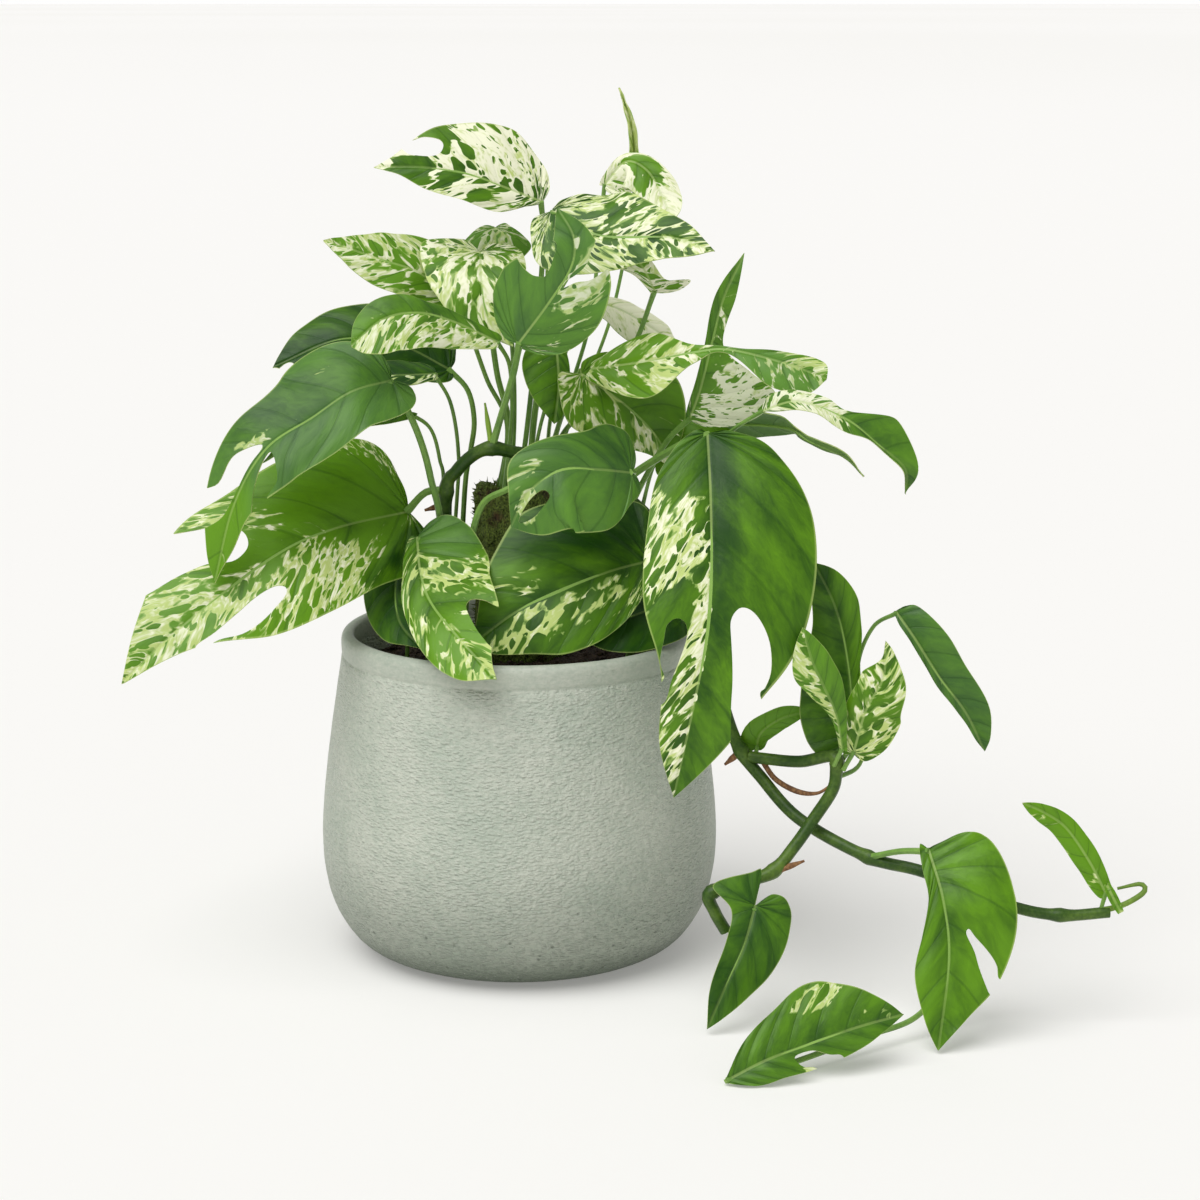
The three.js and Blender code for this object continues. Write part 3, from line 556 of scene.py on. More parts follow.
@dataclass(frozen=True)
class Moss:
    """Brown coir with green moss grown over it."""

    name: str = "moss_on_coir"
    coir: Colour = tint(48, 36, 22)
    straw: Colour = tint(104, 80, 48)
    moss: Colour = tint(58, 74, 22)
    bright: Colour = tint(122, 140, 58)

    def build(self) -> bpy.types.Material:
        """Makes the finish."""
        bench = Skin(self.name)
        spot = bench.place()
        x, y, z = bench.split(spot)
        fibres = bench.noise(bench.vector(x, y, z * 0.25), 900.0, 2.0)
        tufts = bench.noise(spot, 110.0, 3.0)
        fine = bench.noise(spot, 1200.0, 1.0)
        bark = bench.mix((fibres * 2.2 + 0.4).smooth(0.0, 1.0), self.coir, self.straw)
        green = bench.mix((fine * 2.0 + 0.5).smooth(0.0, 1.0), self.moss, self.bright)
        colour = bench.mix(tufts.smooth(-0.2, 0.02), bark, green)
        return bench.finish(
            Base_Color=colour, Roughness=0.95 + fine * 0.05, Normal=bench.bump(fibres + tufts, 0.002, 1.0)
        )


@dataclass(frozen=True)
class PaleFloor:
    """A plain pale floor."""

    name: str = "pale_floor"
    white: Colour = tint(222, 221, 219)
    warm: Colour = tint(219, 218, 215)
    glow: float = 0.3

    def build(self) -> bpy.types.Material:
        """Makes the finish, which glows faintly, so that shadows on it stay light."""
        bench = Skin(self.name)
        colour = bench.mix(bench.noise(bench.place(), 0.05, 0.0).smooth(-0.3, 0.3), self.white, self.warm)
        return bench.finish(
            Base_Color=colour, Roughness=0.9, Emission_Color=colour, Emission_Strength=self.glow
        )


def between(p0: np.ndarray, p1: np.ndarray, p2: np.ndarray, p3: np.ndarray, t: np.ndarray) -> np.ndarray:
    """Runs smoothly from the second of four points to the third.

    Args:
        p0: The point before.
        p1: Where it starts.
        p2: Where it ends.
        p3: The point after.
        t: How far it has come, from 0 to 1.

    Returns:
        The spots.
    """
    slope_in = (p2 - p0) / 2
    slope_out = (p3 - p1) / 2
    cubic = 2 * p1 - 2 * p2 + slope_in + slope_out
    square = -3 * p1 + 3 * p2 - 2 * slope_in - slope_out
    return cubic * t**3 + square * t**2 + slope_in * t + p1


class Line:
    """A smooth line through a few points, measured along its length, in millimetres."""

    PIECES = 40

    def __init__(self, points: tuple[Spot, ...]) -> None:
        """Runs the line through the points.

        Args:
            points: Where it passes, in order.
        """
        ends = np.array(points, float)
        before = 2 * ends[0] - ends[1]
        after = 2 * ends[-1] - ends[-2]
        self.points = np.vstack([before, ends, after])
        self.spans = len(ends) - 1
        steps = np.linspace(0.0, self.spans, self.spans * self.PIECES + 1)
        self.steps = steps
        laid = self.at_step(steps)
        runs = np.linalg.norm(np.diff(laid, axis=0), axis=1)
        self.run = np.concatenate([[0.0], np.cumsum(runs)])
        self.length = float(self.run[-1])

    def at_step(self, steps: np.ndarray) -> np.ndarray:
        """Places spots by how many points they have passed.

        Args:
            steps: Steps from 0 to the number of spans.

        Returns:
            The spots.
        """
        span = np.clip(np.floor(steps).astype(int), 0, self.spans - 1)
        t = (steps - span)[:, None]
        p0, p1, p2, p3 = (self.points[span + k] for k in range(4))
        return between(p0, p1, p2, p3, t)

    def at(self, share: np.ndarray) -> np.ndarray:
        """Places spots by their share of the length.

        Args:
            share: Shares from 0 to 1.

        Returns:
            The spots.
        """
        return self.at_step(np.interp(np.asarray(share) * self.length, self.run, self.steps))

    def heading(self, share: np.ndarray) -> np.ndarray:
        """Gives the line's direction at shares of its length.

        Args:
            share: Shares from 0 to 1.

        Returns:
            Unit vectors.
        """
        small = 0.002
        ahead = self.at(np.clip(np.asarray(share) + small, 0, 1))
        behind = self.at(np.clip(np.asarray(share) - small, 0, 1))
        return unit(ahead - behind)


def unit(vectors: np.ndarray) -> np.ndarray:
    """Makes vectors one long."""
    return vectors / np.maximum(np.linalg.norm(vectors, axis=-1, keepdims=True), 1e-12)


def margin_line(points: tuple[Flat, ...], length: float, steps: np.ndarray) -> np.ndarray:
    """Runs a blade's margin smoothly from its base over its points to its tip.

    Args:
        points: Spots along the midrib and out from it.
        length: The midrib's length.
        steps: Where to read it, from 0 at the base to 1 at the tip.

    Returns:
        The margin's spots, as along and out.
    """
    spots = np.array([(0.0, 0.0), *points, (length, 0.0)])
    last = len(spots) - 1
    place = np.clip(steps, 0, 1) * last
    span = np.clip(np.floor(place).astype(int), 0, last - 1)
    t = (place - span)[:, None]
    p0, p1, p2, p3 = (spots[np.clip(span + k, 0, last)] for k in (-1, 0, 1, 2))
    return between(p0, p1, p2, p3, t)


def ring_line(points: tuple[Flat, ...], each: int) -> np.ndarray:
    """Rounds a closed outline.

    Args:
        points: Its corners.
        each: How many spots there are for each corner.

    Returns:
        The rounded outline's spots.
    """
    spots = np.array(points, float)
    count = len(spots)
    steps = np.arange(count * each) / each
    span = np.floor(steps).astype(int)
    t = (steps - span)[:, None]
    p0, p1, p2, p3 = (spots[(span + k) % count] for k in (-1, 0, 1, 2))
    return between(p0, p1, p2, p3, t)


def smooth_share(values: np.ndarray, start: float, end: float) -> np.ndarray:
    """Rises smoothly from 0 at start to 1 at end."""
    share = np.clip((values - start) / (end - start), 0, 1)
    return share * share * (3 - 2 * share)


def spots_of(piece: bpy.types.Object) -> np.ndarray:
    """Reads a mesh's vertices, in the units of the mesh."""
    spots = np.empty(len(piece.data.vertices) * 3)
    piece.data.vertices.foreach_get("co", spots)
    return spots.reshape(-1, 3)


def place_spots(piece: bpy.types.Object, spots: np.ndarray) -> None:
    """Moves a mesh's vertices."""
    piece.data.vertices.foreach_set("co", spots.ravel())
    piece.data.update()


def store(piece: bpy.types.Object, name: str, columns: tuple[np.ndarray | float, ...]) -> None:
    """Writes three values for each vertex, for the finishes to read.

    Args:
        piece: The mesh object.
        name: The attribute's name.
        columns: The three values, as arrays or numbers.
    """
    count = len(piece.data.vertices)
    values = np.stack([np.broadcast_to(column, (count,)) for column in columns], axis=1)
    attribute = piece.data.attributes.get(name) or piece.data.attributes.new(name, "FLOAT_VECTOR", "POINT")
    attribute.data.foreach_set("vector", values.astype(np.float32).ravel())


def pick_only(piece: bpy.types.Object) -> None:
    """Makes one object the only selected one and the active one."""
    bpy.ops.object.select_all(action="DESELECT")
    piece.select_set(True)
    bpy.context.view_layer.objects.active = piece


def fresh_primitive(name: str) -> bpy.types.Object:
    """Names the primitive that was just added, with its mesh."""
    piece = bpy.context.active_object
    piece.name = name
    piece.data.name = name
    return piece


def edit_all(piece: bpy.types.Object, *steps: Callable[[], object]) -> None:
    """Runs operators in edit mode, each with the whole mesh selected.

    Args:
        piece: The mesh object.
        steps: The operators, in order.
    """
    pick_only(piece)
    bpy.ops.object.mode_set(mode="EDIT")
    for step in steps:
        bpy.ops.mesh.select_all(action="SELECT")
        step()
    bpy.ops.object.mode_set(mode="OBJECT")


def turn_faces_out() -> None:
    """Points the selected faces of a closed mesh outwards."""
    bpy.ops.mesh.normals_make_consistent(inside=False)


def copy_of(piece: bpy.types.Object) -> bpy.types.Object:
    """Copies an object, with a mesh of its own."""
    copy = piece.copy()
    copy.data = piece.data.copy()
    bpy.context.collection.objects.link(copy)
    return copy


def apply_modifier(piece: bpy.types.Object, name: str, kind: str, settings: dict) -> None:
    """Adds a modifier, sets it and applies it.

    Args:
        piece: The object that takes it.
        name: The modifier's name.
        kind: The modifier's type.
        settings: Its properties.
    """
    pick_only(piece)
    modifier = piece.modifiers.new(name, kind)
    for key, value in settings.items():
        setattr(modifier, key, value)
    bpy.ops.object.modifier_apply(modifier=modifier.name)


def fuse(name: str, pieces: list[bpy.types.Object]) -> bpy.types.Object:
    """Joins objects into one.

    Args:
        name: The joined object's name.
        pieces: What is joined, the first of which stays.

    Returns:
        The joined object.
    """
    bpy.ops.object.select_all(action="DESELECT")
    for piece in pieces:
        piece.select_set(True)
    bpy.context.view_layer.objects.active = pieces[0]
    if len(pieces) > 1:
        bpy.ops.object.join()
    whole = bpy.context.active_object
    whole.name = name
    whole.data.name = name
    return whole


def hand_over(piece: bpy.types.Object, nodes: tuple[str, ...], slot: Slot) -> None:
    """Keeps a finished piece inside the part's box and rides it on the plant, in the place of its nodes.

    Args:
        piece: The finished object.
        nodes: The nodes that it stands for.
        slot: The material slot that its finish comes from; not used.
    """
    place_spots(piece, np.clip(spots_of(piece), SOLIDS[0], SOLIDS[1]))
    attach(piece, "root")
    if nodes:
        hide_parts(*nodes)
    log.info("%s: %d vertices", piece.name, len(piece.data.vertices))


@dataclass
class Shoot:
    """A round stem along a smooth line, swollen or tapered along its way."""

    points: tuple[Spot, ...]
    radius: float
    swellings: tuple[Spot, ...] = ()
    swell: float = 0.3
    reach: float = 3.5
    taper: float = 1.0
    foot: float = 1.0
    brown: float = 0.0
    pale: float = 0.4
    step: float = 1.5
    fineness: int = 2

    def radii(self, line: Line, share: np.ndarray) -> np.ndarray:
        """Works out the radius along the way.

        Args:
            line: The middle of the stem.
            share: Shares of its length.

        Returns:
            The radii in millimetres.
        """
        size = self.foot + (1.0 - self.foot) * smooth_share(share, 0.0, 0.25)
        size = size * (1.0 + (self.taper - 1.0) * smooth_share(share, 0.5, 1.0))
        laid = line.at(share)
        for spot in self.swellings:
            away = np.linalg.norm(laid - np.array(spot), axis=1)
            nearest = share[int(np.argmin(away))] * line.length
            beyond = share * line.length - nearest
            size = size * (1.0 + self.swell * np.exp(-((beyond / self.reach) ** 2)))
            size = size * (1.0 - 0.09 * np.exp(-(((beyond - 2.2) / 0.7) ** 2)))
        return self.radius * size

    def build(self, name: str, finish: bpy.types.Material) -> bpy.types.Object:
        """Sweeps the stem.

        Args:
            name: The object's name.
            finish: Its skin.

        Returns:
            The mesh object.
        """
        line = Line(self.points)
        count = max(6, int(line.length / self.step))
        share = np.linspace(0.0, 1.0, count)
        laid = line.at(share)
        radii = self.radii(line, share)
        bpy.ops.object.select_all(action="DESELECT")
        bpy.ops.curve.primitive_nurbs_path_add(location=(0, 0, 0))
        path = bpy.context.active_object
        curve = path.data
        curve.splines.clear()
        curve.dimensions = "3D"
        spline = curve.splines.new("POLY")
        spline.points.add(count - 1)
        spline.points.foreach_set("co", np.column_stack([laid * MM, np.ones(count)]).ravel())
        spline.points.foreach_set("radius", radii)
        curve.bevel_depth = MM
        curve.bevel_resolution = self.fineness
        curve.use_fill_caps = True
        bpy.ops.object.convert(target="MESH")
        stem = fresh_primitive(name)
        stem.data.materials.clear()
        stem.data.materials.append(finish)
        self.mark(stem, laid, share * line.length)
        pick_only(stem)
        bpy.ops.object.shade_smooth_by_angle(angle=SMOOTH_LEAF)
        return stem

    def mark(self, stem: bpy.types.Object, laid: np.ndarray, run: np.ndarray) -> None:
        """Stores how far along, how brown and how pale each spot of the skin is.

        Args:
            stem: The mesh.
            laid: Spots along the middle.
            run: How far along each of them is.
        """
        spots = spots_of(stem) / MM
        nearest = np.array([int(np.argmin(((laid - spot) ** 2).sum(axis=1))) for spot in spots])
        store(stem, "stem", (run[nearest], self.brown, self.pale))


@dataclass(frozen=True)
class Patch:
    """A place on a blade where cream, green or painted grey sheen gathers, with its middle along and out from
    the midrib.
    """

    along: float
    out: float
    across_veins: float
    along_veins: float
    cream: float = 0.0
    depth: float = 0.0
    sheen_grey: float = 0.0


@dataclass(frozen=True)
class Marbling:
    """How much cream each half has, how deep the green, how much painted grey sheen, how limy the cream, how
    flecked, and patches.
    """

    left: float = -1.0
    right: float = -1.0
    depth: float = 0.6
    sheen_grey: float = 0.0
    lime: float = 0.6
    fleck: float = 1.0
    patches: tuple[Patch, ...] = ()


def plain(length: float, width: float) -> tuple[Flat, ...]:
    """Gives the outline of a plain half of a blade, as spots along the midrib and out from it."""
    shares = ((-0.05, 0.4), (0.02, 0.76), (0.22, 1), (0.48, 0.9), (0.72, 0.58), (0.88, 0.27))
    return tuple((along * length, out * width) for along, out in shares)


@dataclass(frozen=True)
class Leaf:
    """One leaf: its stalk, its midrib, its halves' outlines, its splits and its marbling."""

    name: str
    grows_on: str
    face: Spot
    stalk: tuple[Spot, ...]
    rib: tuple[Spot, ...]
    left: tuple[Flat, ...]
    right: tuple[Flat, ...]
    splits: tuple[tuple[Flat, ...], ...] = ()
    lift: float = 8.0
    droop: float = 25.0
    waves: float = 0.8
    pucker: float = 0.45
    marbling: Marbling = field(default_factory=Marbling)

    def width(self, side: Side) -> float:
        """Gives how far a half reaches out from the midrib."""
        return max(out for _, out in (self.left if side is Side.LEFT else self.right))

    def stalk_radius(self) -> float:
        """Gives the stalk's radius, which follows the blade's width."""
        return min(max(0.5 + (self.width(Side.LEFT) + self.width(Side.RIGHT)) * 0.024, 1.0), 2.0)


@dataclass
class LeafMaker:
    """Builds leaves: a blade cut flat and wrapped over its midrib, a stalk, and a raised midrib below."""

    finishes: dict[str, bpy.types.Material]
    half_thickness: float = 0.28
    vein_slant: float = 1.1
    row_step: float = 1.3
    half_columns: int = 13
    veins: int = 10
    cutter_depth: float = 5.0
    cutter_fineness: int = 5
    weld: float = 0.001
    patch_slant: float = 0.6

    def build(self, leaf: Leaf, seed: int) -> bpy.types.Object:
        """Builds one leaf.

        Args:
            leaf: Its sizes.
            seed: What sets its own waves and marbling.

        Returns:
            The finished object.
        """
        line = Line(leaf.rib)
        blade = self.flat_blade(leaf, line)
        self.cut_splits(leaf, blade)
        rows = self.read_rows(blade)
        self.dress(blade)
        self.wrap(leaf, line, blade, rows, seed)
        pick_only(blade)
        bpy.ops.object.shade_smooth_by_angle(angle=SMOOTH_LEAF)
        return fuse(leaf.name, [blade, self.stalk(leaf, line), self.midrib(leaf, line)])

    def flat_blade(self, leaf: Leaf, line: Line) -> bpy.types.Object:
        """Lays the blade out flat, along the midrib and out from it, with its thickness.

        Args:
            leaf: Its sizes.
            line: Its midrib.

        Returns:
            The flat blade.
        """
        rows = int(line.length / self.row_step) + 24
        bpy.ops.object.select_all(action="DESELECT")
        bpy.ops.mesh.primitive_grid_add(
            x_subdivisions=2 * self.half_columns, y_subdivisions=rows, size=2, location=(0, 0, 0)
        )
        blade = fresh_primitive("blade")
        spots = spots_of(blade)
        across = spots[:, 0]
        t = (spots[:, 1] + 1) / 2
        margins = {side: margin_line(outline, line.length, t) for side, outline in self.sides(leaf)}
        feet = [
            np.clip(margin[:, 0] - self.vein_slant * np.maximum(margin[:, 1], 0), 0, line.length)
            for margin in margins.values()
        ]
        foot = (feet[0] + feet[1]) / 2
        margin = np.where((across < 0)[:, None], margins[Side.LEFT], margins[Side.RIGHT])
        reach = np.abs(across)
        along = foot + (margin[:, 0] - foot) * reach * (0.7 + 0.3 * reach)
        out = np.maximum(margin[:, 1], 0) * reach
        flat = np.column_stack([along, np.sign(across) * out, np.zeros(len(t))])
        place_spots(blade, flat)
        apply_modifier(blade, "thickness", "SOLIDIFY", {"thickness": 2 * self.half_thickness, "offset": 0.0})
        return blade

    def sides(self, leaf: Leaf) -> tuple[tuple[Side, tuple[Flat, ...]], ...]:
        """Pairs each half with its outline."""
        return ((Side.LEFT, leaf.left), (Side.RIGHT, leaf.right))

    def close_ends(self, blade: bpy.types.Object) -> None:
        """Draws the blade's base and tip together, so that no face there is without area.

        Args:
            blade: The flat blade.
        """
        edit_all(blade, lambda: bpy.ops.mesh.dissolve_degenerate(threshold=self.weld))

    def cut_splits(self, leaf: Leaf, blade: bpy.types.Object) -> None:
        """Cuts the leaf's splits out of the flat blade.

        Args:
            leaf: Its sizes.
            blade: The flat blade.
        """
        if leaf.splits:
            self.close_ends(blade)
        for outline in leaf.splits:
            ring = ring_line(outline, self.cutter_fineness)
            bpy.ops.object.select_all(action="DESELECT")
            bpy.ops.mesh.primitive_circle_add(vertices=len(ring), radius=1, fill_type="NGON")
            cutter = fresh_primitive("split")
            low = np.full(len(ring), -self.cutter_depth)
            place_spots(cutter, np.column_stack([ring, low]))
            rise = {"value": (0, 0, 2 * self.cutter_depth)}
            edit_all(
                cutter, lambda: bpy.ops.mesh.extrude_region_move(TRANSFORM_OT_translate=rise), turn_faces_out
            )
            apply_modifier(
                blade, "split", "BOOLEAN", {"operation": "DIFFERENCE", "solver": "EXACT", "object": cutter}
            )
            bpy.data.objects.remove(cutter, do_unlink=True)

    def read_rows(self, blade: bpy.types.Object) -> np.ndarray:
        """Reads each vertex's place across and along the blade back from the blade's own map.

        Args:
            blade: The flat blade, cut.

        Returns:
            For each vertex, its share across from -1 to 1 and its share along from 0 to 1.
        """
        mesh = blade.data
        loops = len(mesh.loops)
        corners = np.empty(loops, int)
        mesh.loops.foreach_get("vertex_index", corners)
        places = np.empty(loops * 2)
        mesh.uv_layers[0].data.foreach_get("uv", places)
        normals = np.empty(len(mesh.polygons) * 3)
        mesh.polygons.foreach_get("normal", normals)
        sizes = np.empty(len(mesh.polygons), int)
        mesh.polygons.foreach_get("loop_total", sizes)
        faces = np.repeat(np.abs(normals.reshape(-1, 3)[:, 2]) > 0.5, sizes)
        total = np.zeros((len(mesh.vertices), 2))
        count = np.zeros(len(mesh.vertices))
        np.add.at(total, corners[faces], places.reshape(-1, 2)[faces])
        np.add.at(count, corners[faces], 1)
        rows = total / np.maximum(count, 1)[:, None]
        return np.column_stack([rows[:, 0] * 2 - 1, rows[:, 1]])

    def dress(self, blade: bpy.types.Object) -> None:
        """Gives the flat blade's upper face, under face and rim their finishes.

        Args:
            blade: The flat blade.
        """
        mesh = blade.data
        mesh.materials.clear()
        for name in ("upper", "under", "edge"):
            mesh.materials.append(self.finishes[name])
        normals = np.empty(len(mesh.polygons) * 3)
        mesh.polygons.foreach_get("normal", normals)
        up = normals.reshape(-1, 3)[:, 2]
        chosen = np.where(up > 0.5, 0, np.where(up < -0.5, 1, 2))
        mesh.polygons.foreach_set("material_index", chosen.astype(np.int32))

    def wrap(self, leaf: Leaf, line: Line, blade: bpy.types.Object, rows: np.ndarray, seed: int) -> None:
        """Wraps the flat blade over its midrib and stores where each spot is, for the finishes.

        Args:
            leaf: Its sizes.
            line: Its midrib.
            blade: The flat blade.
            rows: Each vertex's place across and along.
            seed: What sets its own waves.
        """
        flat = spots_of(blade)
        along, out, thick = flat[:, 0], flat[:, 1], flat[:, 2]
        share = np.abs(rows[:, 0])
        phase = rows[:, 1] * self.veins
        chance = random.Random(seed)
        turns = [chance.uniform(0, 2 * math.pi) for _ in range(3)]
        spot, normal = self.on_blade(leaf, line, along, out)
        from_vein = 0.5 - np.abs(phase - np.floor(phase) - 0.5)
        inner = smooth_share(np.abs(out), 0.5, 4.0) * (1 - smooth_share(share, 0.8, 1.0))
        scale = min(1.0, line.length / 90)
        puckered = leaf.pucker * scale * (smooth_share(from_vein, 0.0, 0.3) - 0.6) * inner
        groove = -0.25 * scale * np.exp(-((out / 1.1) ** 2))
        swing = np.sin(phase * 2.1 + turns[0] + np.sign(out)) + 0.6 * np.sin(phase * 4.4 + turns[1])
        waved = leaf.waves * scale * share**2.5 * swing * 0.6
        height = thick + puckered + groove + waved
        place_spots(blade, (spot + normal * height[:, None]) * MM)
        self.turn_outwards(blade)
        down = rows[:, 1] * line.length
        store(blade, "blade", (down, out, share))
        store(blade, "plan", (phase, float(seed) * 3.7, np.clip(along / line.length, 0, 1)))
        store(blade, "marble", self.marbled(leaf, along, out))
        store(blade, "tone", (leaf.marbling.lime, leaf.marbling.fleck, 0.0))

    def turn_outwards(self, blade: bpy.types.Object) -> None:
        """Turns the faces round, because wrapping the flat plan mirrors it.

        Args:
            blade: The wrapped blade.
        """
        edit_all(blade, lambda: bpy.ops.mesh.flip_normals())

    def on_blade(
        self, leaf: Leaf, line: Line, along: np.ndarray, out: np.ndarray
    ) -> tuple[np.ndarray, np.ndarray]:
        """Places spots on the wrapped blade, over a half that lifts from the midrib and droops to its margin.

        Args:
            leaf: Its sizes.
            line: Its midrib.
            along: How far along the midrib each spot is.
            out: How far out from it, and below zero on the left half.

        Returns:
            The spots and the blade's upward directions there.
        """
        share = np.clip(along / line.length, 0, 1)
        heading = line.heading(share)
        spot = line.at(share) + heading * np.minimum(along, 0)[:, None]
        face = np.array(leaf.face, float)
        normal = unit(face - heading * (heading @ face)[:, None])
        right = np.cross(heading, normal)
        width = np.where(out < 0, leaf.width(Side.LEFT), leaf.width(Side.RIGHT))
        lift = math.radians(leaf.lift)
        bend = math.radians(leaf.droop) / width
        turn = lift - bend * np.abs(out)
        side = np.sign(out)
        spot = spot + right * (side * (math.sin(lift) - np.sin(turn)) / bend)[:, None]
        spot = spot + normal * ((np.cos(turn) - math.cos(lift)) / bend)[:, None]
        upward = normal * np.cos(turn)[:, None] - right * (side * np.sin(turn))[:, None]
        return spot, unit(upward)

    def marbled(self, leaf: Leaf, along: np.ndarray, out: np.ndarray) -> tuple[np.ndarray, ...]:
        """Works out how cream, how deep green and how much painted grey sheen each spot of a blade is.

        Args:
            leaf: Its sizes and marbling.
            along: How far along the midrib each spot is.
            out: How far out from it.

        Returns:
            The three shares.
        """
        plan = leaf.marbling
        cream = np.where(out < 0, plan.left, plan.right).astype(float)
        depth = np.full(len(out), plan.depth)
        sheen_grey = np.full(len(out), plan.sheen_grey)
        foot = along - self.patch_slant * np.abs(out)
        for patch in plan.patches:
            middle = patch.along - self.patch_slant * abs(patch.out)
            away = np.hypot((foot - middle) / patch.across_veins, (out - patch.out) / patch.along_veins)
            strength = 1 - smooth_share(away, 0.6, 1.3)
            cream = cream + patch.cream * strength
            depth = depth + patch.depth * strength
            sheen_grey = sheen_grey + patch.sheen_grey * strength
        return cream, depth, np.clip(sheen_grey, 0, 1)

    def stalk(self, leaf: Leaf, line: Line) -> bpy.types.Object:
        """Builds the stalk, a little wider at its foot and at the knee below the blade."""
        start = line.at(np.array([0.0]))[0] + line.heading(np.array([0.0]))[0]
        knee = tuple(float(value) for value in start)
        shoot = Shoot(
            points=(*leaf.stalk, knee),
            radius=leaf.stalk_radius() * 0.92,
            swellings=(knee,),
            swell=0.16,
            reach=5.0,
            foot=1.18,
            pale=0.55,
            step=2.2,
            fineness=1,
        )
        return shoot.build("stalk", self.finishes["stalk"])

    def midrib(self, leaf: Leaf, line: Line) -> bpy.types.Object:
        """Builds the raised midrib that runs on below the blade from the stalk nearly to the tip."""
        share = np.linspace(0.0, 0.92, max(5, int(line.length / 8)))
        spot, normal = self.on_blade(leaf, line, share * line.length, np.zeros(len(share)))
        radius = leaf.stalk_radius() * 0.72
        drop = self.half_thickness * 0.2 + radius * (1 - 0.8 * share)
        points = tuple(tuple(float(value) for value in row) for row in spot - normal * drop[:, None])
        shoot = Shoot(points=points, radius=radius, taper=0.22, pale=0.9, step=2.5, fineness=1)
        return shoot.build("midrib", self.finishes["stalk"])


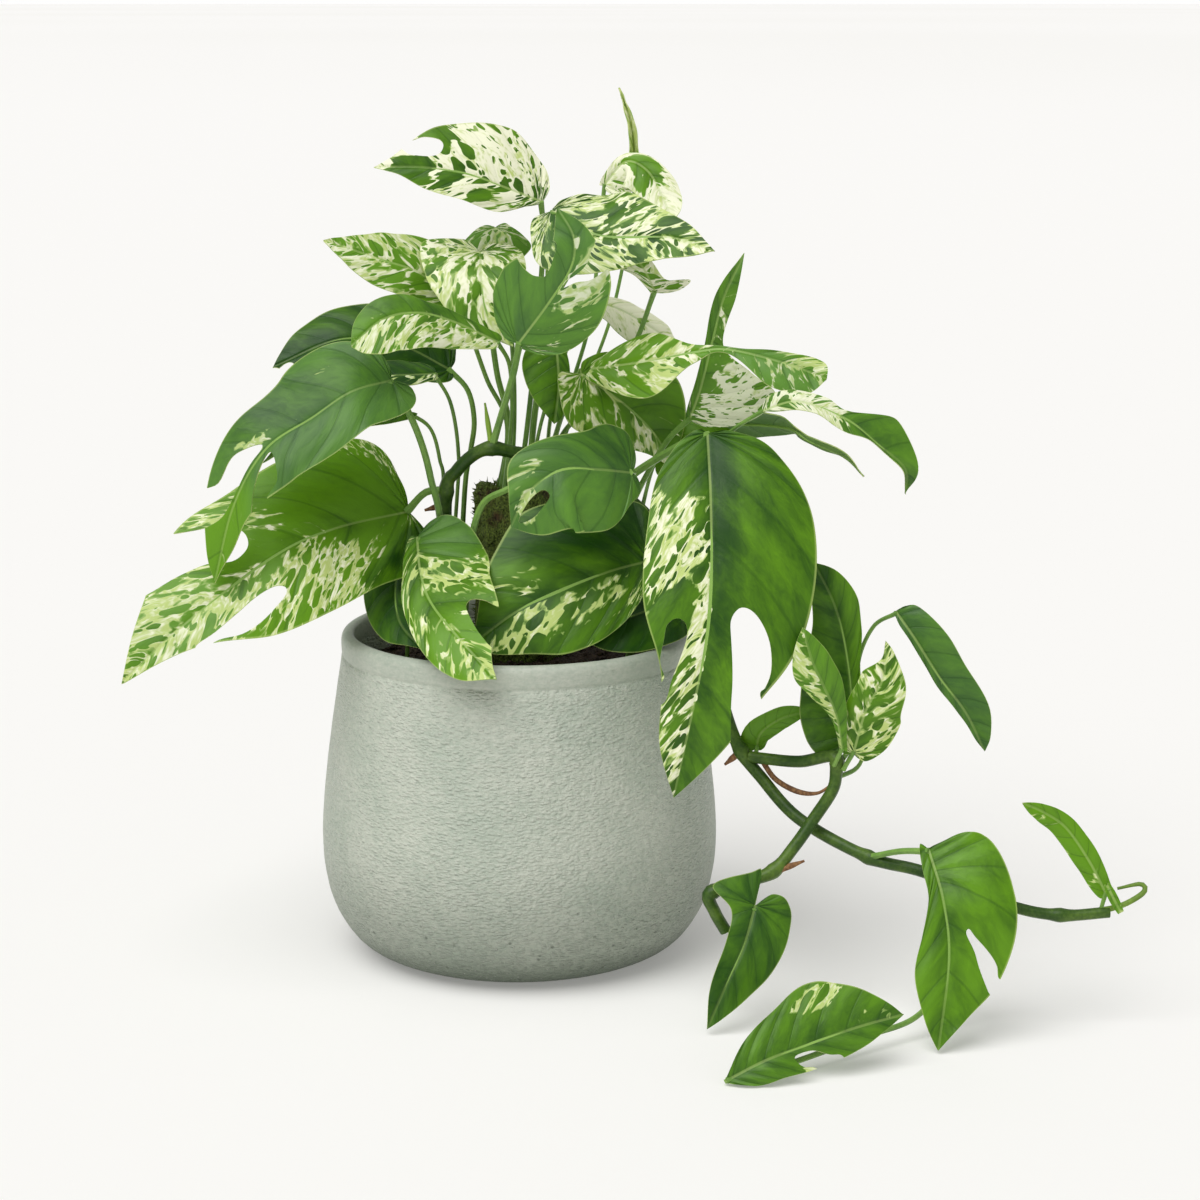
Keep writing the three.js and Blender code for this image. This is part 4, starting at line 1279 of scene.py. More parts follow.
LEAVES = (
    Leaf(
        name="leaf_left_marbled",
        grows_on="vine_long",
        face=(-0.15, -0.9, 0.4),
        stalk=((-31, -14, 216), (-41, -13, 215)),
        rib=(
            (-49, -12, 206), (-81, -34, 202), (-107, -50, 192), (-145, -70, 165), (-170, -78, 142),
        ),
        left=((-4, 14), (-2, 27), (26, 31), (60, 35), (92, 30), (122, 12)),
        right=((-2, 16), (2, 37), (28, 42), (68, 38), (97, 37), (128, 19)),
        splits=(
            (
                (98, 40), (96, 37), (87, 31), (78, 26), (74, 18), (75, 12), (79, 9), (86, 9),
                (95, 15), (108, 19), (122, 21.5), (130, 26), (116, 44),
            ),
            (
                (122, -14), (113, -16), (104, -20.5), (94, -21.5), (84, -20), (77, -18), (75, -15),
                (79, -12), (88, -11), (99, -11.5), (112, -12), (122, -11),
            ),
        ),
        marbling=Marbling(left=0.58, right=0.5, depth=0.2, lime=0.7, patches=(
            Patch(30, 16, 30, 24, cream=-1.1), Patch(6, -16, 12, 10, cream=-0.9, depth=0.5),
            Patch(24, -26, 14, 8, cream=-0.7, depth=0.4), Patch(70, 4, 12, 10, cream=-0.5),
            Patch(120, 0, 30, 22, cream=0.12, sheen_grey=0.15), Patch(48, -18, 14, 14, cream=0.25),
        )),
    ),
    Leaf(
        name="leaf_left_dark",
        grows_on="soil",
        face=(-0.3, -0.85, 0.45),
        stalk=((-38, -22, 120), (-34, -20, 194), (-38, -27, 224), (-42, -33, 242), (-48, -36, 257)),
        rib=(
            (-54, -38, 269), (-71, -46, 265), (-87, -54, 255), (-107, -60, 242), (-121, -64, 218),
            (-130, -66, 184),
        ),
        left=((-7, 8), (0, 17), (39, 20), (70, 19), (92, 10), (112, 5)),
        right=((-2, 8), (3, 18), (24, 30), (54, 20.5), (76, 19.5), (112, 8)),
        splits=(
            (
                (94, 18), (87, 11), (76, 11), (70, 8), (64.5, 3.5), (66, 1.5), (74, 1.5),
                (90, 1.5), (101, 4.5), (108, 16),
            ),
            (
                (86, -19), (83, -14), (73, -14), (66, -8), (64, -3), (68, -2.5), (78, -5),
                (89, -8.5), (97, -12), (94, -20),
            ),
        ),
        marbling=Marbling(left=-0.9, right=-0.9, depth=0.5, sheen_grey=0.38, lime=0.9, fleck=0.5, patches=(
            Patch(106, 0, 26, 12, cream=0.9, depth=-0.5, sheen_grey=-0.35),
            Patch(70, 8, 8, 7, cream=1.35), Patch(60, 4, 20, 4, cream=0.9),
            Patch(16, 14, 8, 4, cream=0.9), Patch(28, 18, 7, 4, cream=0.9),
            Patch(40, 12, 40, 12, depth=0.15, sheen_grey=-0.15),
        )),
    ),
    Leaf(
        name="leaf_left_hidden",
        grows_on="soil",
        face=(-0.3, -0.8, 0.5),
        stalk=((-42, 4, 120), (-34, -4, 210), (-35, -7, 229), (-39, -11, 244)),
        rib=((-48, -16, 252), (-73, -28, 250), (-95, -36, 243), (-111, -42, 233)),
        left=plain(67, 5),
        right=plain(67, 12),
        marbling=Marbling(depth=0.5),
    ),
    Leaf(
        name="leaf_back_left",
        grows_on="soil",
        face=(-0.1, -0.75, 0.65),
        stalk=((-30, 18, 120), (-25, 12, 208), (-22, 11, 229), (-20, 10, 244), (-23, 12, 258)),
        rib=((-31, 14, 267), (-54, 16, 278), (-81, 12, 281), (-111, 6, 269)),
        left=((-3, 4), (4, 10), (20, 14), (40, 18), (62, 16), (77, 9)),
        right=((0, 6), (6, 14), (22, 20), (42, 20), (60, 16), (76, 8)),
        splits=(
            ((79, -14), (77, -7), (77, -3), (79, -1), (82, -1.5), (86, -6)),
        ),
        marbling=Marbling(depth=0.8),
    ),
    Leaf(
        name="leaf_left_strip",
        grows_on="soil",
        face=(0, -0.5, 0.85),
        stalk=((-36, 10, 120), (-28, 3, 208), (-27, 1, 232), (-30, -3, 254)),
        rib=((-36, -8, 268), (-46, -12, 268), (-62, -16, 268), (-75, -22, 267)),
        left=((0, 3), (4, 5), (14, 7), (26, 6), (34, 4), (40, 2)),
        right=((0, 4), (4, 8), (14, 12), (26, 11), (34, 8), (40, 3)),
        marbling=Marbling(left=0.5, right=-0.9, depth=0.8),
    ),
    Leaf(
        name="leaf_mid_low",
        grows_on="moss_stake",
        face=(0, -0.85, 0.5),
        stalk=((-8, -2, 199), (-3, -6, 240), (-2, -10, 258), (-3, -18, 274)),
        rib=((-7, -26, 284), (-26, -34, 294), (-41, -42, 299), (-56, -48, 297), (-70, -54, 286)),
        left=((0, 2), (4, 5), (24, 13), (50, 17), (66, 14), (74, 7)),
        right=((0, 3), (6, 4), (20, 4), (36, 6), (50, 10), (66, 8)),
        marbling=Marbling(left=0.66, right=0.1, depth=0.2, sheen_grey=0.12, lime=0.55, patches=(
            Patch(40, 8, 26, 8, depth=0.3, cream=-0.3), Patch(30, -10, 34, 12, cream=0.15),
        )),
    ),
    Leaf(
        name="leaf_left_striped",
        grows_on="moss_stake",
        face=(-0.1, -0.8, 0.6),
        stalk=((-12, 22, 199), (-5, 12, 240), (-14, 10, 263), (-22, 6, 286)),
        rib=((-30, 0, 302), (-44, -4, 313), (-60, -8, 319), (-85, -12, 328)),
        left=((-3, 5), (4, 10), (20, 14), (36, 13), (48, 9), (57, 4)),
        right=((-3, 8), (2, 15), (18, 18), (34, 15), (46, 9), (56, 4)),
        marbling=Marbling(left=0.6, right=0.72, depth=0.1, sheen_grey=0.1, lime=0.6),
    ),
    Leaf(
        name="leaf_mid_marbled",
        grows_on="moss_stake",
        face=(0, -0.85, 0.5),
        stalk=((-10, 12, 199), (-4, 2, 241), (-9, -3, 268), (-13, -6, 301)),
        rib=((-16, -4, 322), (-15, -16, 310), (-12, -21, 295), (-1, -23, 282)),
        left=((-4, 5), (-3, 13), (1, 19), (12, 20), (28, 13), (40, 7)),
        right=((-6, 5), (-8, 12), (-9, 26), (8, 25.5), (24, 19), (38, 7)),
        marbling=Marbling(left=0.62, right=0.66, depth=0.45, lime=0.55),
    ),
    Leaf(
        name="leaf_back_top",
        grows_on="moss_stake",
        face=(0, -0.85, 0.5),
        stalk=((-5, 28, 199), (-2, 20, 243), (-3, 22, 280), (-7, 24, 311)),
        rib=((-10, 20, 331), (-10, 13, 317), (-9, 8, 302)),
        left=((-2, 4), (0, 7.5), (4, 13), (9, 16.5), (17, 11), (25, 5)),
        right=((-1, 3), (0, 7), (4, 12), (9, 14.5), (17, 10), (25, 5)),
        marbling=Marbling(left=0.45, right=0.45, depth=-0.1, sheen_grey=0.25, lime=0.5),
    ),
    Leaf(
        name="leaf_top_left",
        grows_on="moss_stake",
        face=(0, -0.9, 0.4),
        stalk=((-2, 20, 199), (4, 12, 240), (9, 8, 286), (12, 4, 327)),
        rib=((12, -2, 344), (-5, -8, 351), (-21, -12, 357), (-41, -14, 360), (-62, -14, 360)),
        left=((2, 2), (10, 6.5), (20, 12), (38, 12), (54, 10), (68, 3.5)),
        right=((-1, 7), (4, 16), (20, 27), (38, 24.5), (54, 18.5), (67, 7)),
        splits=(
            (
                (62, 5.3), (54, 5.3), (50, 7), (48.8, 11), (51, 13.5), (57, 14), (61, 12.3),
                (64, 11), (68, 10), (65, 7),
            ),
        ),
        marbling=Marbling(left=0.82, right=0.86, depth=0.55, lime=0.3, fleck=1.1, patches=(
            Patch(55, 18, 7, 8, cream=-1.7), Patch(60, 1, 9, 4, cream=-1.6),
            Patch(66, -5, 12, 5, cream=-1.4), Patch(44, -3, 5, 3, cream=-1.3),
            Patch(30, -8, 5, 3, cream=-1.3), Patch(20, 12, 14, 12, cream=0.15),
        )),
    ),
    Leaf(
        name="leaf_top_right",
        grows_on="moss_stake",
        face=(0.1, -0.85, 0.5),
        stalk=((4, 12, 199), (7, 2, 241), (13, -2, 287), (15, -6, 323)),
        rib=((16, -14, 341), (37, -24, 331), (68, -36, 331), (87, -44, 326)),
        left=((1, 7), (8, 16), (22, 24), (38, 22), (54, 13), (68, 6)),
        right=((-4, 9), (2, 18), (14, 25), (32, 17), (48, 13), (66, 9)),
        marbling=Marbling(left=0.55, right=0.6, depth=0.7, lime=0.6, patches=(
            Patch(50, -10, 18, 12, cream=0.2), Patch(10, 6, 12, 12, cream=-0.2, sheen_grey=0.2),
        )),
    ),
    Leaf(
        name="leaf_top_back",
        grows_on="moss_stake",
        face=(0, -0.85, 0.5),
        stalk=((5, 26, 199), (19, 22, 243), (33, 30, 288), (37, 34, 329)),
        rib=((39, 32, 349), (49, 28, 360), (59, 24, 356), (66, 18, 344), (70, 10, 334)),
        left=((-1, 2), (4, 3), (14, 4), (28, 7), (40, 9), (50, 6)),
        right=((0, 5), (4, 11), (16, 14), (30, 12), (42, 8), (50, 4)),
        marbling=Marbling(left=1.0, right=1.1, depth=-0.1, lime=0.3, fleck=0.7, patches=(
            Patch(28, 2, 9, 8, cream=-1.4, depth=0.3), Patch(44, 0, 20, 16, cream=0.5),
        )),
    ),
    Leaf(
        name="leaf_spike",
        grows_on="moss_stake",
        face=(0, -1, 0),
        lift=60,
        droop=1,
        stalk=((9, 29, 199), (24, 28, 242), (42, 36, 287), (52, 40, 335)),
        rib=((53, 40, 351), (53, 40, 365), (51, 38, 379), (46, 36, 393)),
        left=plain(44, 4),
        right=plain(44, 4),
        marbling=Marbling(left=0.9, right=0.8, depth=-0.6, lime=0.9, fleck=0.3),
    ),
    Leaf(
        name="leaf_upper_right",
        grows_on="moss_stake",
        face=(0, -0.8, 0.6),
        stalk=((12, 16, 199), (19, 6, 236), (40, -4, 260), (53, -10, 282)),
        rib=((62, -16, 305), (55, -18, 318), (44, -16, 326), (32, -12, 329)),
        left=((0, 1.5), (5, 3), (14, 6), (24, 10), (34, 14), (41, 8)),
        right=((-3, 5), (-5, 12), (-4, 18), (3, 7), (14, 5), (30, 3)),
        marbling=Marbling(left=0.95, right=0.95, depth=-0.1, sheen_grey=0.05, lime=0.35),
    ),
    Leaf(
        name="leaf_centre_heart",
        grows_on="vine_long",
        face=(-0.05, -0.9, 0.4),
        stalk=((-11, -19, 236), (-6, -24, 253), (-1, -34, 270)),
        rib=((2, -46, 286), (15, -54, 304), (25, -58, 320), (26, -56, 333), (19, -50, 345)),
        left=((-2, 8), (4, 20), (15, 26), (28, 25), (44, 13), (60, 8)),
        right=((0, 4), (6, 13), (15, 20), (30, 23.5), (42, 19.5), (54, 9)),
        splits=(
            (
                (50, 20), (46.3, 15), (42, 10), (39, 5), (34, 1.5), (37, 0.8), (41, 3), (46, 6),
                (51, 7.5), (57, 14),
            ),
            (
                (32, -28), (29, -22), (29, -14), (31, -10), (33, -8), (37, -8), (45, -8.5),
                (56, -8), (60, -16), (44, -30),
            ),
        ),
        marbling=Marbling(left=-0.8, right=0.05, depth=0.45, sheen_grey=0.36, lime=0.55, patches=(
            Patch(38, 8, 14, 12, cream=0.7), Patch(18, 14, 16, 14, sheen_grey=-0.1),
        )),
    ),
    Leaf(
        name="leaf_centre_round",
        grows_on="soil",
        face=(0, -0.9, 0.4),
        stalk=((-26, -34, 120), (-19, -28, 201), (-3, -32, 220), (24, -36, 228), (50, -40, 228)),
        rib=((51, -50, 230), (37, -60, 233), (21, -66, 234), (7, -70, 225), (-1, -72, 210)),
        left=((-2, 1.5), (-4, 8), (4, 16), (16, 27), (48, 28), (65, 17)),
        right=((-3, 6), (-1, 17), (10, 22), (30, 15.5), (48, 16), (57, 7)),
        splits=(
            (
                (54, -2.5), (48, -3.3), (46, -5.5), (47, -8), (52, -9), (60, -8), (65, -4.5),
                (65.5, -2), (60, -2),
            ),
        ),
        marbling=Marbling(left=-0.8, right=-0.7, depth=0.45, sheen_grey=0.32, lime=0.7, fleck=0.8, patches=(
            Patch(50, 8, 10, 6, cream=1.15), Patch(57, -3, 8, 7, cream=1.5),
            Patch(14, 16, 22, 12, depth=0.3, sheen_grey=-0.15),
        )),
    ),
    Leaf(
        name="leaf_front_big",
        grows_on="soil",
        face=(0, -0.9, 0.45),
        stalk=((44, -4, 120), (61, -20, 167), (64, -24, 181)),
        rib=((59, -36, 188), (41, -46, 185), (17, -54, 177), (0, -57, 169), (-20, -58, 154)),
        left=((2, 6), (12, 17), (26, 25), (42, 28), (60, 25), (82, 12)),
        right=((-8, 12), (-6, 28), (20, 38), (46, 40), (62, 28), (80, 9)),
        marbling=Marbling(left=-0.05, right=-0.7, depth=0.6, lime=0.85, fleck=1.15, patches=(
            Patch(36, -9, 22, 7, cream=0.45), Patch(68, -10, 22, 14, cream=0.5),
            Patch(12, -20, 10, 12, cream=0.5), Patch(60, 12, 16, 9, cream=1.15),
            Patch(20, 24, 30, 16, depth=0.35),
        )),
    ),
    Leaf(
        name="leaf_front_under",
        grows_on="soil",
        face=(0, -0.85, 0.5),
        stalk=((50, -12, 120), (62, -24, 156)),
        rib=((70, -26, 168), (50, -44, 164), (22, -56, 158)),
        left=((-8, 5), (-7, 12), (6, 18), (28, 17), (42, 12), (50, 6)),
        right=((0, 3), (4, 7), (14, 12), (28, 13), (40, 10), (48, 4)),
        marbling=Marbling(depth=0.9),
    ),
    Leaf(
        name="leaf_rim_left",
        grows_on="soil",
        face=(-0.3, -0.8, 0.5),
        stalk=((-52, -2, 120), (-50, 4, 174)),
        rib=((-46, -4, 190), (-54, -20, 178), (-52, -40, 162), (-40, -57, 152)),
        left=((-2, 5), (4, 8), (20, 9), (36, 9), (52, 8), (62, 4)),
        right=((-2, 8), (2, 14), (16, 16), (34, 15), (50, 11), (62, 4)),
        marbling=Marbling(depth=0.75),
    ),
    Leaf(
        name="leaf_front_left",
        grows_on="soil",
        face=(-0.1, -0.85, 0.5),
        stalk=((-40, -34, 120), (-39, -34, 179), (-41, -30, 192)),
        rib=((-44, -32, 198), (-42, -46, 186), (-37, -60, 175), (-25, -78, 164), (-7, -94, 148)),
        left=((-8, 8), (-6, 20), (12, 30), (38, 29), (64, 22), (80, 6)),
        right=((0, 3), (8, 6), (20, 8), (38, 13), (62, 16), (79, 12)),
        splits=(
            (
                (67, -26), (63, -22), (56, -19.5), (51, -15), (53, -11.5), (60, -9.5), (70, -8),
                (80, -9), (80, -22),
            ),
        ),
        marbling=Marbling(left=0.42, right=0.42, depth=0.45, lime=0.85, patches=(
            Patch(-2, -12, 18, 16, cream=-0.9, sheen_grey=0.35), Patch(24, -20, 12, 16, cream=0.3),
            Patch(48, -12, 8, 16, cream=-0.35), Patch(70, 0, 18, 20, cream=0.05, depth=-0.3),
        )),
    ),
    Leaf(
        name="leaf_right_big",
        grows_on="vine_long",
        face=(0.05, -0.93, 0.35),
        stalk=((44, -13, 217), (58, -24, 229), (77, -40, 243)),
        rib=(
            (84, -54, 248), (85, -70, 223), (85, -84, 192), (83, -92, 166), (78, -97, 140),
            (69, -100, 97),
        ),
        left=((0, 12), (10, 30), (40, 45), (82, 43), (112, 28), (138, 16)),
        right=((-1, 6), (10, 17), (32, 26), (76, 29), (112, 16), (140, 11)),
        splits=(
            (
                (114, 15.5), (111, 15), (105, 18), (95, 18), (88, 17.5), (84.5, 14), (86, 10),
                (92, 8.5), (103, 10), (112, 11.5), (122, 12.5), (124, 18),
            ),
            (
                (124, -34), (111, -27), (107, -28.5), (100, -29.5), (90, -27), (82, -22),
                (78, -17), (78, -12.5), (83, -9.5), (91, -10.5), (107, -14), (122, -16.5),
                (140, -22),
            ),
        ),
        marbling=Marbling(left=-1.1, right=0.26, depth=0.6, lime=0.55, patches=(
            Patch(50, 18, 26, 12, cream=0.6), Patch(14, 10, 14, 12, cream=-0.8),
            Patch(84, 16, 14, 8, cream=-0.9), Patch(90, 2, 34, 6, cream=0.5),
            Patch(128, 4, 26, 12, cream=0.3), Patch(40, -6, 60, 7, depth=0.25),
        )),
    ),
    Leaf(
        name="leaf_mid_right",
        grows_on="moss_stake",
        face=(0, -0.85, 0.5),
        stalk=((11, 4, 199), (17, -1, 237), (23, -9, 256)),
        rib=(
            (28, -20, 271), (55, -31, 276), (77, -38, 281), (93, -42, 283), (116, -46, 278),
            (136, -48, 271),
        ),
        left=((6, 3), (32, 14), (54, 4), (74, 1.5), (94, 5), (111, 7)),
        right=((6, 6), (32, 17), (54, 5), (70, 2), (92, 12), (109, 10)),
        marbling=Marbling(left=0.52, right=0.62, depth=0.1, lime=0.7, patches=(
            Patch(90, 6, 30, 12, cream=-0.4, sheen_grey=0.35), Patch(30, 8, 20, 10, depth=0.1, cream=-0.1),
            Patch(105, -6, 10, 8, cream=0.5),
        )),
    ),
    Leaf(
        name="leaf_mid_right_low",
        grows_on="leaf_mid_right",
        face=(0.1, -0.85, 0.5),
        stalk=((24, -10, 259),),
        rib=((29, -24, 270), (48, -20, 256), (62, -12, 241), (70, -8, 226)),
        left=((-2, 6), (6, 16), (24, 24), (40, 28), (49, 18), (56, 7)),
        right=((-9, 6), (-3, 15), (8, 23), (24, 20), (44, 12), (58, 4)),
        marbling=Marbling(left=-0.2, right=0.5, depth=0.3, lime=0.7),
    ),
    Leaf(
        name="leaf_folded",
        grows_on="moss_stake",
        face=(0, -1, 0.1),
        stalk=((4, 0, 199), (9, -7, 237), (15, -9, 261)),
        rib=((18, -12, 281), (19, -18, 264), (17, -20, 247)),
        left=((0, 3), (2, 4), (8, 5), (18, 5), (26, 4), (32, 3)),
        right=((-2, 5), (-1, 12), (6, 16), (16, 15), (25, 11), (31, 5)),
        marbling=Marbling(left=-0.1, right=-0.1, depth=0.45, lime=0.7),
    ),
    Leaf(
        name="leaf_right_spear",
        grows_on="vine_long",
        face=(0.1, -0.95, 0.1),
        stalk=((52, -15, 211), (60, -19, 227), (68, -24, 241)),
        rib=((77, -28, 250), (82, -28, 265), (87, -26, 285), (92, -24, 304), (101, -20, 323)),
        left=((0, 2), (8, 3), (20, 3), (34, 3), (50, 4), (64, 3)),
        right=((0, 10), (8, 26), (20, 34), (27, 20), (36, 5), (58, 5)),
        marbling=Marbling(left=-0.4, right=0.1, depth=0.3, sheen_grey=0.15, lime=0.2, patches=(
            Patch(12, 20, 28, 18, cream=1.0, sheen_grey=0.05),
        )),
    ),
    Leaf(
        name="leaf_right_grey",
        grows_on="vine_long",
        face=(0, 0.75, 0.66),
        stalk=((56, -15, 207), (62, 2, 225), (71, 9, 236)),
        rib=(
            (79, 10, 241), (100, 2, 244), (122, -10, 244), (131, -16, 239), (146, -24, 233),
            (155, -29, 225),
        ),
        left=((2, 5), (10, 9), (24, 10), (46, 6), (56, 2), (72, 2)),
        right=((2, 8), (12, 10), (28, 9), (44, 9), (54, 2), (72, 3)),
        marbling=Marbling(left=-0.5, right=-0.2, depth=0.0, sheen_grey=0.6, lime=0.3, patches=(
            Patch(66, 0, 24, 10, sheen_grey=-0.4),
        )),
    ),
    Leaf(
        name="leaf_right_curl",
        grows_on="vine_long",
        face=(0.1, -0.8, 0.6),
        stalk=((66, -20, 196), (82, -32, 232), (95, -46, 248)),
        rib=(
            (107, -56, 258), (123, -62, 263), (143, -66, 256), (157, -66, 245), (169, -64, 234),
            (170, -58, 222),
        ),
        left=((3, 4), (9, 6), (28, 5), (40, 4), (58, 16), (76, 6)),
        right=((2, 1), (14, 4), (28, 4), (42, 5.5), (54, 1.5), (74, 1.2)),
        marbling=Marbling(left=-0.7, right=-0.7, depth=0.4, sheen_grey=0.15, lime=0.4, patches=(
            Patch(14, 0, 22, 14, cream=1.7), Patch(38, 4, 12, 10, cream=0.9),
        )),
    ),
    Leaf(
        name="leaf_behind_right",
        grows_on="vine_long",
        face=(0, -0.85, 0.5),
        stalk=((72, -25, 186), (86, -12, 206), (95, -1, 225)),
        rib=((91, -3, 235), (80, -4, 237), (71, -5, 232), (64, -6, 221)),
        left=((-3, 5), (0, 8), (8, 9), (18, 8), (26, 5), (33, 3)),
        right=((-8, 5), (-5, 9), (8, 10), (18, 9), (26, 6), (33, 3)),
        marbling=Marbling(depth=-0.2),
    ),
    Leaf(
        name="leaf_behind_cream",
        grows_on="moss_stake",
        face=(0, -0.7, 0.7),
        stalk=((14, 23, 199), (14, 14, 239), (22, 12, 276)),
        rib=((29, 6, 299), (44, 8, 296), (60, 10, 287), (72, 10, 278)),
        left=((2, 2), (8, 4), (20, 6), (30, 7), (40, 6), (46, 3)),
        right=((2, 4), (10, 8), (22, 12), (32, 12), (41, 8), (46, 4)),
        marbling=Marbling(left=1.3, right=1.3, depth=-0.2, lime=0.25, fleck=0.5),
    ),
    Leaf(
        name="vine_leaf_tall",
        grows_on="vine_short",
        face=(0, -0.95, 0.1),
        stalk=((143, -80, 109), (146, -74, 111)),
        rib=((147, -68, 113), (148, -62, 131), (145, -58, 155), (140, -56, 173), (131, -54, 191)),
        left=((-8, 8), (-3, 17), (12, 23), (34, 20), (56, 12), (72, 7)),
        right=((0, 3), (10, 5), (32, 5), (48, 8.5), (62, 10.5), (75, 7)),
        marbling=Marbling(depth=0.65, patches=(
            Patch(40, 14, 60, 14, depth=-0.35),
        )),
    ),
    Leaf(
        name="vine_leaf_light",
        grows_on="vine_short",
        face=(0, -1, 0),
        stalk=((139, -84, 107),),
        rib=((142, -89, 115), (139, -91, 131), (133, -93, 145), (128, -93, 156), (124, -91, 170)),
        left=((0, 1), (8, 1.5), (18, 3), (30, 7), (40, 10), (52, 5)),
        right=((0, 2), (8, 3), (18, 5), (32, 8.5), (45, 7.5), (53, 4)),
        marbling=Marbling(left=0.5, right=-0.8, depth=0.3, sheen_grey=0.1, lime=0.8),
    ),
    Leaf(
        name="vine_leaf_marbled",
        grows_on="vine_short",
        face=(0, -1, 0.1),
        stalk=((143, -84, 105),),
        rib=((147, -86, 113), (152, -88, 133), (159, -88, 147), (160, -86, 163)),
        left=((-1, 4), (5, 7), (14, 9), (26, 9), (38, 9), (45, 1.5)),
        right=((-2, 6), (5, 13), (18, 16.5), (32, 12.5), (41, 7), (49, 3)),
        marbling=Marbling(left=0.56, right=0.52, depth=0.5, lime=0.75),
    ),
    Leaf(
        name="vine_leaf_outer",
        grows_on="vine_short",
        face=(-0.2, -0.95, 0.1),
        stalk=((139, -81, 100), (152, -68, 104), (155, -50, 122), (152, -47, 143), (158, -50, 161)),
        rib=((167, -58, 170), (175, -64, 159), (186, -66, 142), (198, -66, 126), (207, -64, 108)),
        left=((1, 5), (5, 9.5), (22, 13), (42, 12), (58, 10), (70, 5)),
        right=((0, 1), (6, 2), (20, 2.5), (38, 3), (54, 3), (68, 1.5)),
        marbling=Marbling(left=-0.6, right=-0.1, depth=0.55, sheen_grey=0.3, lime=0.4),
    ),
    Leaf(
        name="vine_leaf_young",
        grows_on="vine_short",
        face=(0, -1, 0.1),
        stalk=((106, -60, 103),),
        rib=((107, -52, 106), (109, -54, 114), (118, -56, 121), (129, -56, 124)),
        left=((-4, 5), (-2, 8), (4, 8), (14, 6), (22, 5), (29, 3)),
        right=((0, 2), (3, 4), (10, 5), (18, 5), (24, 4), (29, 2)),
        marbling=Marbling(depth=-0.3, sheen_grey=0.1),
    ),
    Leaf(
        name="vine_leaf_heart",
        grows_on="vine_short",
        face=(0.1, -0.95, 0.2),
        stalk=((92, -100, 38), (99, -101, 39)),
        rib=((104, -110, 52), (99, -118, 37), (92, -124, 23), (83, -129, 3)),
        left=((-7, 6), (-6, 13), (2, 17.5), (18, 17), (34, 12.5), (49, 5)),
        right=((-15, 1.5), (-13, 6), (-3, 20), (5, 9.5), (19, 8), (40, 6)),
        marbling=Marbling(depth=0.65, sheen_grey=0.05),
    ),
    Leaf(
        name="vine_leaf_floor",
        grows_on="vine_long",
        face=(0, -0.85, 0.5),
        stalk=((194, -107, 58), (189, -112, 28), (173, -130, 10), (146, -150, 7), (112, -174, 4)),
        rib=((88, -186, 2), (104, -184, 10), (120, -178, 14), (142, -170, 19), (163, -162, 22)),
        left=((4, 3), (15, 11), (30, 18), (47, 24), (60, 20), (73, 10)),
        right=((4, 3.5), (13, 8.5), (24, 9.5), (42, 10.5), (58, 9), (71, 5)),
        splits=(
            (
                (32, 2.5), (30.5, 4.5), (33, 8), (37, 9.5), (41, 13), (50, 13), (50, 8.8),
                (45, 6.8), (39, 3),
            ),
        ),
        marbling=Marbling(left=-0.5, right=-0.5, depth=0.45, sheen_grey=0.06, lime=0.8, patches=(
            Patch(49, -17, 12, 6, cream=1.3), Patch(41, 10, 9, 4, cream=1.3), Patch(70, 0, 14, 12, cream=0.5),
        )),
    ),
    Leaf(
        name="vine_leaf_cut",
        grows_on="vine_long",
        face=(0, -1, 0.1),
        stalk=((154, -92, 68), (166, -106, 75)),
        rib=((177, -116, 79), (182, -130, 61), (184, -139, 38), (179, -151, 1.8)),
        left=((-2, 8), (-3, 18), (4, 27), (30, 30.5), (55, 22), (72, 10)),
        right=((-3, 3), (8, 5), (22, 6), (38, 11), (56, 14), (76, 7)),
        splits=(
            (
                (56, -25), (54, -21.5), (50, -20.5), (46, -17.5), (40, -11.5), (36.5, -8.8),
                (38.5, -7.5), (45, -10.5), (51, -12.7), (58, -16.5), (61, -19), (63, -25),
            ),
        ),
        marbling=Marbling(left=-0.5, right=-0.3, depth=0.4, lime=0.85),
    ),
    Leaf(
        name="vine_leaf_end",
        grows_on="vine_long",
        face=(0, -1, 0.1),
        stalk=((252, -110, 49),),
        rib=((255, -108, 56), (247, -106, 71), (237, -104, 85), (227, -104, 92), (218, -104, 96)),
        left=((0, 3), (6, 5), (18, 6), (32, 6), (44, 5), (52, 3)),
        right=((0, 3), (6, 4), (18, 5), (32, 5), (44, 4), (52, 2)),
        marbling=Marbling(left=0.1, right=-0.2, depth=0.0, lime=0.8),
    ),
    Leaf(
        name="vine_leaf_bud",
        grows_on="vine_long",
        face=(0, -1, 0.1),
        stalk=((258, -109, 52),),
        rib=((254, -114, 62), (257, -115, 56), (260, -115, 50.5)),
        left=plain(20, 2),
        right=plain(20, 2),
        marbling=Marbling(left=0.3, right=0.3, depth=0.1, lime=0.8),
    ),
)


